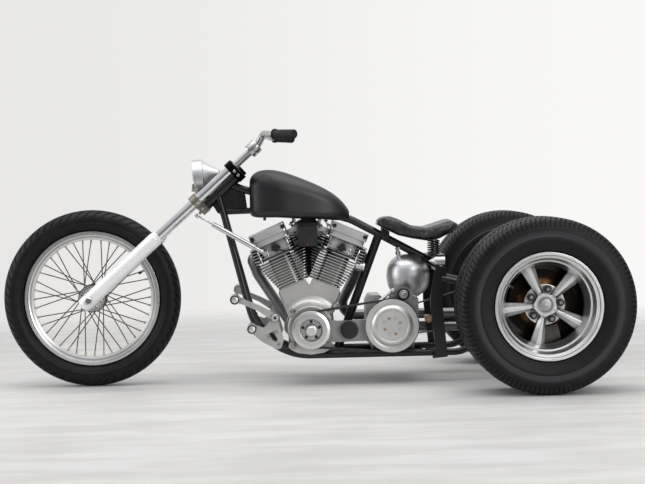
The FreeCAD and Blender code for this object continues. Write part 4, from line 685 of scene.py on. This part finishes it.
# Rear wheels: chrome lug nuts ringed by black discs of painted shade, screws on the star cap and a valve.
lugs = {"count": 5, "radius": 0.061, "first": 101.3, "starRadius": 0.047, "starFirst": 137.3,
        "valveTurn": 28.8, "valveRadius": 0.178, "valveIn": 0.032}
for name, side in (("left", 1), ("right", -1)):
    wheel = "rear_%s_wheel" % name
    low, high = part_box(wheel)
    lug = onCircle(rearAxle, lugs["radius"], lugs["first"], 0)
    star = onCircle(rearAxle, lugs["starRadius"], lugs["starFirst"], 0)
    lugFace, starFace = skin(lug.x, lug.z, wheel, side=side), skin(star.x, star.z, wheel, side=side)
    nut = spun(name + "LugNuts", [(0, -3), (9.4, -3), (9.4, 4), (7.6, 7.5), (3.6, 7.5), (3, 5), (0, 5)],
               steps=6)
    # a flat black ring round each nut: painted shade
    lugShadeRing = spun(name + "LugShadeRings", [(8, -1), (14.5, -1), (14.5, 0.5), (13.8, 1), (8, 1), (8, -1)],
                   steps=24)
    screw = capScrew(name + "StarScrews", 4.6, 3, 12)
    for piece, finish, face, radius, first in (
            (lugShadeRing, "blackPlasticAndShade", lugFace, lugs["radius"], lugs["first"]),
            (screw, "boltSteel", starFace, lugs["starRadius"], lugs["starFirst"]),
            (nut, "chromePlate", lugFace, lugs["radius"], lugs["first"])):
        ring = ringOf(piece, lugs["count"], rearAxle, face, radius, first, (0, side, 0))
        hung(ring, finish, 30, wheel)
    valveStem(name + "RearValve", rearAxle, (high.y if side > 0 else low.y) - side * lugs["valveIn"],
              lugs["valveRadius"], lugs["valveTurn"], side, wheel)
print("rear wheels detailed")

# Engine: plug boots and leads, screws, bolt heads, a black plate of painted shade in the V, stays and the
# belt idler's cap.
engine = {"bootPlaces": [(0.122, 0.561), (-0.15, 0.555)], "leadRadius": 0.0032, "leadX": -0.01,
          "boreAt": 0.025, "boreRing": 0.0345, "boltRing": 0.0335, "stayOut": 0.0765,
          "idler": (-0.17, 0.184, 0.225)}
seated, seatedBolt = 0.0005, 0.0003  # how far a screw's and a bolt's foot stand inside the surface
coilLow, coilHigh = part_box("ignition_coil")


def plugBoot(place, side):
    spot = Vector((place[0], vee["flank"] - 0.004, place[1]))
    along = Vector((math.sin(side * vee["lean"]), 0, math.cos(side * vee["lean"])))
    across = along.cross(Vector(leftward))
    stub = [(0, 0), (12.5, 0), (12.5, 10), (9.5, 13), (9.5, 24), (8, 27), (0, 27)]
    pieces = [spun("plugBoot", stub, spot, leftward, 20)]
    for way, low, reach in ((along, 1, 17), (-along, 2, 14), (across, 3, 16), (-across, 4, 16)):
        arm = [(0, low), (5.8, low), (6.6, reach * 0.6), (6.6, reach), (5, reach + 2), (0, reach + 2)]
        pieces.append(spun("plugArm", arm, spot + Vector((0, 0.018, 0)), way, 14))
    return joined("plugBoot", pieces)


boots = [plugBoot(place, side) for place, side in zip(engine["bootPlaces"], (1, -1))]
hung(joined("plugBoots", boots), "blackPlasticAndShade")

leadX, leadTop = engine["leadX"], coilLow.z + 0.014
leads = []
for side, (x, z) in zip((1, -1), engine["bootPlaces"]):
    leads.append(tube("plugLead", [
        (leadX + side * 0.03, 0.098, leadTop), (leadX + side * 0.034, 0.102, leadTop - 0.019),
        (leadX + side * 0.062, 0.104, leadTop - 0.027), (x - side * 0.05, 0.106, z - 0.012),
        (x - side * 0.022, 0.106, z - 0.01), (x - side * 0.006, 0.1, z - 0.003)], engine["leadRadius"]))
hung(joined("plugLeads", leads), "blackPlasticAndShade")
hung(spun("coilTerminal", [(0, 0), (5, 0), (5, 5), (3.6, 7), (0, 7)],
          (-0.008, coilHigh.y - 0.001, coilLow.z + 0.008), leftward, 16), "copperTip")


def headPlace(side, across, along, y):  # a spot on a cylinder: across its fins, along it from the crankshaft
    lean = side * vee["lean"]
    forward, up = Vector((math.cos(lean), 0, -math.sin(lean))), Vector((math.sin(lean), 0, math.cos(lean)))
    return Vector((vee["x"], y, vee["z"])) + forward * side * across + up * along


# (distance out from the cylinder's middle, distance along it) of the screws on each rocker box and head
rockerScrews = [(-0.062, 0.428), (0.074, 0.428)]
rockerEdge = [(-0.064, 0.4), (0.074, 0.402)]
headFlank = [(-0.052, 0.352), (-0.052, 0.372), (0.052, 0.352), (0.052, 0.372)]
rockerFace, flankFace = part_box("rocker_boxes")[1].y - seated, vee["flank"] - seated
for name, radius, height, finish, groups in (
        ("rockerScrews", 8.5, 7, "blackPlasticAndShade", [(rockerFace, rockerScrews)]),
        ("headScrews", 5.5, 6, "chromePlate", [(rockerFace, rockerEdge), (flankFace, headFlank)])):
    moves = [aimed(headPlace(side, across, along, y)) for side in (1, -1)
             for y, places in groups for across, along in places]
    hung(copied(capScrew(name, radius, height), moves), finish, 30)

# Bolt heads on the case and the motor plate, seated where the surface stands.
boltPlaces = [(0.062, 0.304), (-0.128, 0.318), (0.058, 0.16), (-0.107, 0.297), (-0.107, 0.191),
              (-0.3, 0.176), (-0.44, 0.35), (-0.098, 0.292)]
spots = [aimed(Vector((x, skin(x, z, "crankcase", "motor_plate") - seatedBolt, z)))
         for x, z in boltPlaces]
hung(copied(hexHead("caseBolts", 12.5, 7), spots), "boltSteel", 25)

# Pulley nut with five black discs of painted shade for the bores round it, and the clutch cover's four
# bolts.
pulleyFace = skin(crank.x, crank.z, "engine_pulley")
hung(settle(hexHead("pulleyNut", 30, 9), (crank.x, pulleyFace - seated, crank.z), leftward), "pegSilver", 25)
# black discs standing for the bores: painted shade
boreShade = spun("pulleyBoreShades", [(0, 0.4), (5.2, 0.4), (6, 0.8), (6.6, 0.2), (6.6, -2), (0, -2)], steps=20)
boreFace = skin(crank.x, crank.z + engine["boreAt"], "engine_pulley")
hung(ringOf(boreShade, 5, crank, boreFace, engine["boreRing"], 90), "blackPlasticAndShade")
clutchFace = skin(clutchAxle.x, clutchAxle.z, "clutch")
clutchBolt = hexHead("clutchBolts", 8.5, 4)
hung(ringOf(clutchBolt, 4, clutchAxle, clutchFace - seatedBolt, engine["boltRing"], 68), "bronzeBolt", 25)

# Black plate between the cylinders, from the coil down to the fork of the V: painted shade where the fins
# are seen through.
shadePlateShape = {"middle": (-0.014, -0.018, 0.546), "halfWidth": 0.088, "reach": 0.116, "thick": 0.01,
         "round": 0.002}
shadePlate = begin("circle", "veeShadePlate", vertices=3, radius=1, fill_type="NGON",
               rotation=(math.radians(-90), 0, 0))
shadePlate.location = shadePlateShape["middle"]
hold(shadePlate)
bpy.ops.object.transform_apply(location=False, rotation=True, scale=False)
shadePlate.scale = (shadePlateShape["halfWidth"], 1, shadePlateShape["reach"])
settle(shadePlate)
edit()
bpy.ops.mesh.extrude_region_move(TRANSFORM_OT_translate={"value": (0, shadePlateShape["thick"], 0)})
endEdit()
edit("EDGE")
bpy.ops.mesh.bevel(offset=shadePlateShape["round"], segments=2, affect="EDGES")
bpy.ops.object.mode_set(mode="OBJECT")
hung(shadePlate, "blackPlasticAndShade")

# Bright stays beside the heads' fins: which cylinder, distance from its middle, then from and to along it.
stayLines = [(1, -0.056, 0.334, 0.386), (1, 0.074, 0.318, 0.372), (-1, -0.056, 0.334, 0.386),
             (-1, 0.074, 0.318, 0.372), (-1, 0.038, 0.336, 0.362), (1, 0.038, 0.336, 0.362)]
stays = []
for side, across, low, high in stayLines:
    foot, tip = (headPlace(side, across, along, engine["stayOut"]) for along in (low, high))
    length = (high - low) * 1000
    stays.append(spun("headStays", [(0, 0), (3, 0), (3.8, 1), (3.8, length - 1), (3, length), (0, length)],
                      foot, tip - foot, 12))
hung(joined("headStays", stays), "chromePlate", 40)
idler = [(0, -16), (36.5, -16), (36.5, -2), (35, 0.8), (30, 1.6), (29, 0.6), (12, 1), (11, 2.2), (0, 2.4)]
hung(spun("idlerCap", idler, engine["idler"], leftward, 48), "blackPlasticAndShade")
print("engine detailed")

# Seat: the leather pad is blown up a little by cloth, over a pan on two coil springs.
seat = {"voxel": 0.005, "shrink": 0.0045, "quickGrow": 0.001, "pressure": 4, "frames": 20, "swell": 0.0075,
        "fill": 0.8, "springAt": (-0.537, 0.07), "springRadius": 0.0165, "wire": 0.003, "turns": 6,
        "panUnder": 0.5825, "bowlRise": 0.062, "bowlFrom": 0.0198, "clearance": 0.0042}


def copyOf(node, name):
    piece = bpy.data.objects.new(name, nodes[node].data.copy())
    bpy.context.scene.collection.objects.link(piece)
    hold(piece)
    edit()
    bpy.ops.mesh.remove_doubles(threshold=2 * weld)
    bpy.ops.object.mode_set(mode="OBJECT")
    return piece


pad = copyOf("seat_pad", "seatLeatherPad")
edit()
bpy.ops.transform.shrink_fatten(value=-seat["shrink"])
bpy.ops.object.mode_set(mode="OBJECT")
refine(pad, "REMESH", mode="VOXEL", voxel_size=seat["voxel"])
refine(pad, "SMOOTH", factor=0.5, iterations=6)
start = [point.co.copy() for point in pad.data.vertices]
cloth = hold(pad).modifiers.new("stuffing", "CLOTH")
cloth.settings.use_pressure = True
cloth.settings.uniform_pressure_force = seat["pressure"]
cloth.settings.effector_weights.gravity = 0
cloth.point_cache.frame_start, cloth.point_cache.frame_end = 1, seat["frames"]
for step in range(1, seat["frames"] + 1):
    bpy.context.scene.frame_set(step)
bpy.ops.object.modifier_apply(modifier="stuffing")
bpy.context.scene.frame_set(1)
for point, before in zip(pad.data.vertices, start):
    moved = point.co - before
    if moved.length > seat["swell"]:
        point.co = before + moved.normalized() * seat["swell"]
refine(pad, "SUBSURF", levels=1, render_levels=1)
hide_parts("seat_pad")
hung(pad, "seatLeather", 60)

pan = copyOf("seat_base", "seatPan")
springX, springY = seat["springAt"]
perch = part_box("seat_perch")[1].z
springHeight = seat["panUnder"] - perch


def coilSpring(side):
    piece = begin("circle", "seatSpring", vertices=10, radius=seat["wire"],
                  location=(seat["springRadius"], 0, seat["wire"]), rotation=(math.radians(90), 0, 0))
    settle(piece)
    refine(piece, "SCREW", axis="Z", screw_offset=(springHeight - 2 * seat["wire"]) / seat["turns"],
           iterations=seat["turns"], steps=18, render_steps=18)
    edit()
    bpy.ops.mesh.remove_doubles(threshold=weld)
    bpy.ops.mesh.select_all(action="DESELECT")
    bpy.ops.mesh.select_non_manifold()
    bpy.ops.mesh.edge_face_add()
    endEdit()
    return settle(piece, (springX, side * springY, perch))


def onSpring(middle, normal):  # the plain CAD springs, but not the pan's underside round them
    reach = math.hypot(middle.x - springX, abs(middle.y) - springY)
    under = normal.z < -0.9 and middle.z > perch + seat["bowlRise"] and reach > seat["bowlFrom"]
    return reach < seat["springRadius"] + seat["clearance"] and not under


bpy.ops.object.mode_set(mode="EDIT")
pickFaces(pan, onSpring)
bpy.ops.mesh.delete(type="FACE")
bpy.ops.mesh.select_mode(type="VERT")
bpy.ops.mesh.select_all(action="DESELECT")
bpy.ops.mesh.select_non_manifold()
bpy.ops.mesh.fill()
endEdit()
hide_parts("seat_base")
hung(pan, "framePaint", 30)
hung(joined("seatSprings", [coilSpring(side) for side in (1, -1)]), "springBlack", 50)
height = springHeight * 1000
springPin = spun("springPins", [(0, 0), (9, 0), (9, 6), (5.5, 7), (5.5, height - 7), (9, height - 6),
                                (9, height), (0, height)], steps=16)
moves = [Matrix.Translation((springX, side * springY, perch)) for side in (1, -1)]
hung(copied(springPin, moves), "boltSteel")
print("seat made")

# Fork and bars: pinch bolts, collars on the risers, a lug and a bulb at the lamp.
fork = {"half": 0.115, "collarFoot": 0.8885, "screwOut": 0.1447,
        "screws": [(0.592, 0.016), (0.592, 0.044), (0.791, 0.018), (0.791, 0.04)],
        "lugSize": (0.038, 0.032, 0.038), "lugBack": 0.015, "lugUp": 0.045, "lugRound": 0.006,
        "bulbAhead": 0.012}
axis = Vector(next(joint["axis"] for joint in frame["joints"] if joint["name"] == "steering")).normalized()
forkUp = axis if axis.z > 0 else -axis
forkBack = forkUp.cross(Vector(leftward))


def onFork(along, back, across):  # along the fork from the front axle, behind its centre line, to the left
    return frontAxle + forkUp * along + forkBack * back + Vector((0, across, 0))


moves = [aimed(onFork(along, back, side * fork["screwOut"]), (0, side, 0)) for side in (1, -1)
         for along, back in fork["screws"]]
hung(copied(capScrew("clampScrews", 6.2, 6), moves), "chromePlate", 30, "fork")
collar = spun("barCollars", [(12.6, 0), (26.2, 0), (27.2, 2), (27.2, 16), (25, 18), (25, 22), (27.2, 24),
                             (27.2, 42), (25.8, 45), (12.6, 45), (12.6, 0)], steps=40)
moves = [aimed(onFork(fork["collarFoot"], 0, side * fork["half"]), forkUp) for side in (1, -1)]
hung(copied(collar, moves), "collarSilver", body="fork")

lampLow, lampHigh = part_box("headlamp_shell")
lug = begin("cube", "lampLug", size=1,
            location=(lampHigh.x - fork["lugBack"], 0, lampLow.z + fork["lugUp"]))
lug.scale = fork["lugSize"]
settle(lug)
edit("EDGE")
bpy.ops.mesh.bevel(offset=fork["lugRound"], segments=3, affect="EDGES")
endEdit()
hung(lug, "collarSilver", body="fork")
bulb = spun("lampBulb", [(0, -52), (10, -52), (10, -40), (6, -36), (8, -28), (6, -20), (0, -17)],
            middleOf("headlamp_lens") + Vector((fork["bulbAhead"], 0, 0)), (1, 0, 0), 20)
hung(bulb, "frostedBulb", body="fork")
print("fork detailed")

# Small fittings on the oil tank, the engine's top, the gearbox and the frame.
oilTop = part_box("oil_tank")[1].z
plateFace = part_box("motor_plate")[1].y
starter = {"x": -0.392, "z": 0.367, "armFoot": (-0.284, 0.172, 0.334), "armTip": (-0.352, 0.172, 0.382)}
frameBolt = (-0.501, 0.104, 0.257)
rod = Vector(starter["armTip"]) - Vector(starter["armFoot"])
reach = rod.length * 1000
ribs = [(radius, 12 * rib + low) for rib in range(3) for radius, low in ((18.5, 2), (18.5, 10), (16.5, 12))]
fittings = [  # name, profile, foot, direction, steps round, finish, smoothing angle
    ("oilFitting", [(0, 0), (10.5, 0), (10.5, 10), (7.5, 12), (7.5, 20), (9.2, 21), (9.2, 28), (0, 28)],
     (-0.3845, 0.0415, oilTop - 0.006), (0.1, 0.05, 1), 6, "chromePlate", 25),
    ("starterArm", [(0, -4), (8.5, -4), (8.5, 4), (6, 8), (6, reach - 12), (10, reach - 8), (10, reach + 6),
                    (0, reach + 6)], starter["armFoot"], rod, 20, "collarSilver", 35),
    ("starterRing", [(19.5, -16), (25, -14), (26.2, -6), (25, 1), (21.5, 3), (19.5, 2), (19.5, -16)],
     (starter["x"], plateFace - 0.01, starter["z"]), leftward, 36, "blackPlasticAndShade", 35),
    ("frameBoltSpacer", [(0, -94), (10, -94), (10, -4), (13.5, -2), (13.5, 1), (0, 1)],
     frameBolt, leftward, 20, "framePaint", 35),
]
for name, profile, foot, way, steps, finish, smooth in fittings:
    hung(spun(name, profile, foot, way, steps), finish, smooth)
clamp = spun("ribbedClamp", [(0, 0), (16.5, 0)] + ribs + [(0, 36)], (-0.208, 0.052, 0.478), (-1, 0, -0.22))
hung(clamp, "pegSilver", 30)
hung(settle(hexHead("starterBolt", 16, 6), (starter["x"], plateFace - seated, starter["z"]), leftward),
     "boltSteel", 25)
hung(settle(hexHead("frameBolt", 24, 16), frameBolt, leftward), "bronzeBolt", 25)
hose = tube("oilHose", [(-0.382, 0.0425, oilTop + 0.018), (-0.38, 0.043, oilTop + 0.034),
                        (-0.366, 0.042, oilTop + 0.046), (-0.352, 0.036, oilTop + 0.044),
                        (-0.344, 0.026, oilTop + 0.052)], 0.0052)
hung(hose, "blackPlasticAndShade")
rockerPlaces = [((0.06, 0.05, 0.65), (-0.6, 0, 1)), ((-0.064, 0.05, 0.64), (0.1, 0, 1)),
                ((-0.1, 0.05, 0.642), (0.5, 0, 1))]
rocker = spun("rockerFitting", [(0, 0), (8, 0), (8, 8), (5, 10), (5, 24), (8.5, 26), (8.5, 34), (0, 34)],
              steps=8)
hung(copied(rocker, [aimed(Vector(spot), way) for spot, way in rockerPlaces]), "chromePlate", 25)
links = tube("topLinks", [(0.062, 0.052, 0.662), (0.044, 0.052, 0.668), (0.03, 0.052, 0.656),
                          (0.018, 0.05, 0.66)], 0.003)
hung(links, "blackPlasticAndShade")
print("fittings made")

# Foot controls: a bright button in each peg's end, the pivot's ring and the plate's bolts.
controls = {  # places are (x, z); a peg's or the pivot's third number is how far out its end stands
    "pegs": [(0.224, 0.25, 0.3), (0.289, 0.369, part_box("foot_controls")[1].y)], "pegRadius": 17,
    "pivot": (0.131, 0.286, 0.226), "bolts": [(0.129, 0.227), (0.158, 0.211), (0.118, 0.179)],
    "plateFace": 0.2045,
}
for mark, side in (("Left", 1), ("Right", -1)):
    out = (0, side, 0)
    edge = controls["pegRadius"]
    for name, rows, places, steps, finish, slot in (
            ("pegRims", [(edge - 3, -1), (edge + 0.8, -1), (edge + 0.8, 1.2), (edge - 3, 3), (edge - 3, -1)],
             controls["pegs"], 28, "blackPlasticAndShade", "grip_rubber"),
            ("pegButtons", [(0, 2.2), (edge - 6, 2), (edge - 3.4, 0.8), (edge - 3.4, -1), (0, -1)],
             controls["pegs"], 28, "pegSilver", None),
            ("pivotRing", [(5.8, -4), (5.8, 4), (13.5, 4), (15, 2), (15, -6), (5.8, -6), (5.8, -4)],
             [controls["pivot"]], 28, "pegSilver", None),
            ("pivotPin", [(0, 1), (6, 1), (6, -2), (0, -2)], [controls["pivot"]], 18, "blackPlasticAndShade", None)):
        pieces = [spun(name, rows, (x, side * face, z), out, steps) for x, z, face in places]
        hung(joined(name + mark, pieces), finish)
    moves = [aimed(Vector((x, side * controls["plateFace"], z)), out) for x, z in controls["bolts"]]
    hung(copied(capScrew("controlBolts" + mark, 6.2, 5), moves), "boltSteel", 30)
print("foot controls detailed")

# Rear lamps: a ribbed red lens closes the flat end of each bullet.
lampLow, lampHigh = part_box("tail_lamps")
bulletRadius = (lampHigh.z - lampLow.z) / 2
wide = bulletRadius * 1000
for mark, side in (("Left", 1), ("Right", -1)):
    middle = Vector((lampLow.x, side * (lampHigh.y - bulletRadius), (lampLow.z + lampHigh.z) / 2))
    lens = spun("rearLens" + mark, [(0, -4), (wide - 4, -4), (wide - 4, 0), (wide - 7, 1.2), (wide - 9, 0.6),
                                    (wide - 11, 1.4), (0, 1.8)], middle, (-1, 0, 0), 32)
    hung(lens, "redLens")
print("lamps detailed")

# Studio: a camera on the left, a floor that fades out, a plain pale room and three soft lamps.
studio = {
    "eye": (0.1209, 6.0099, 0.8562), "turn": -0.0323, "nod": -0.0464, "lean": -0.0201, "lens": 80.57,
    "floorRadius": 6.5, "floorFade": (1.7, 3.6), "floorTones": ((197, 196, 194), (212, 211, 210)),
    "wallTones": ((249, 248, 247), (231, 230, 229)), "roomTone": (0.17, 0.17, 0.175, 1),
    "overheadTone": (0.72, 0.72, 0.73, 1), "stripTone": (1.5, 1.5, 1.52, 1),
    # name, spot, target, size, watts
    "lamps": [("topBox", (0, 0.4, 3.4), (0, 0, 0.5), (4.6, 2.6), 84),
              ("frontBox", (4.4, 0.9, 1.7), (0.2, 0, 0.5), (1.2, 2.8), 34),
              ("rearBox", (-2.6, 4.4, 1.8), (-0.2, 0, 0.5), (1, 2.8), 46)],
}

view = bpy.data.objects.new("studioCamera", bpy.data.cameras.new("studioCamera"))
bpy.context.scene.collection.objects.link(view)
turn, nod, lean = studio["turn"], studio["nod"], studio["lean"]
ahead = Vector((math.sin(turn) * math.cos(nod), -math.cos(turn) * math.cos(nod), math.sin(nod)))
right = Vector((-math.cos(turn), -math.sin(turn), 0))
top = right.cross(ahead)
sideways = right * math.cos(lean) + top * math.sin(lean)
upwards = top * math.cos(lean) - right * math.sin(lean)
facing = Matrix((sideways, upwards, -ahead)).transposed().to_4x4()
view.matrix_world = Matrix.Translation(studio["eye"]) @ facing
view.data.lens = studio["lens"]
view.data.sensor_width = 36
bpy.context.scene.camera = view


def floorPaint(place):
    streaks = place.stretch((1.1, 5, 1), (0, 0, 0.2)).noise(1.6, 7, 0.62)
    return {"Specular IOR Level": 0.25}, dict(colour=streaks.step(0.36, 0.66).between(*studio["floorTones"]),
                                              rough=0.42 + streaks * 0.2)


floor = begin("circle", "studioFloor", vertices=96, radius=studio["floorRadius"], fill_type="NGON")
floorFinish = newFinish("floorPaint", floorPaint)
tree = floorFinish.node_tree
spot = Wire(tree).add("ShaderNodeTexCoord", out="Object").stretch((0.75, 1, 1))
fade = spot.add("ShaderNodeVectorMath", {0: spot}, "Value", operation="LENGTH").step(*studio["floorFade"])
painted = Wire(tree, tree.nodes["Principled BSDF"].outputs[0])
mixed = fade.add("ShaderNodeMixShader", {0: fade, 1: painted, 2: fade.add("ShaderNodeBsdfTransparent")})
tree.links.new(mixed.socket, tree.nodes["Material Output"].inputs["Surface"])
floor.data.materials.append(floorFinish)

world = bpy.data.worlds.new("studioRoom")
bpy.context.scene.world = world
world.use_nodes = True
wires = Wire(world.node_tree)
way = wires.add("ShaderNodeTexCoord", out="Generated")
ahead, left, above, behind = way.part(0), way.part(1), way.part(2), way.part(0) * -1
seenBy = {name: wires.add("ShaderNodeLightPath", out="Is %s Ray" % name)
          for name in ("Camera", "Glossy", "Transmission")}
wallTone = ahead.step(-0.25, 0.25).between(*studio["wallTones"])
rearStrip = behind.step(0.26, 0.38) * behind.step(0.78, 0.62) * left.step(0.2, 0.45)
strips = (ahead.step(0.78, 0.9) + rearStrip) * above.step(-0.18, 0) * above.step(0.75, 0.5)
overhead = above.step(-0.1, 0.9).between(studio["roomTone"], studio["overheadTone"])
wall = seenBy["Camera"] + seenBy["Transmission"] + seenBy["Glossy"] * (left * -1).step(0, 0.5)
room = wall.between(strips.between(overhead, studio["stripTone"]), wallTone)
world.node_tree.links.new(room.socket, world.node_tree.nodes["Background"].inputs["Color"])

for name, spot, target, size, watts in studio["lamps"]:
    lamp = bpy.data.lights.new(name, "AREA")
    lamp.shape = "RECTANGLE"
    lamp.size, lamp.size_y = size
    lamp.energy = watts
    box = bpy.data.objects.new(name, lamp)
    bpy.context.scene.collection.objects.link(box)
    box.location = spot
    box.rotation_mode = "QUATERNION"
    box.rotation_quaternion = (Vector(target) - Vector(spot)).to_track_quat("-Z", "Y")
bpy.context.scene.view_settings.view_transform = "Standard"
print("studio ready")
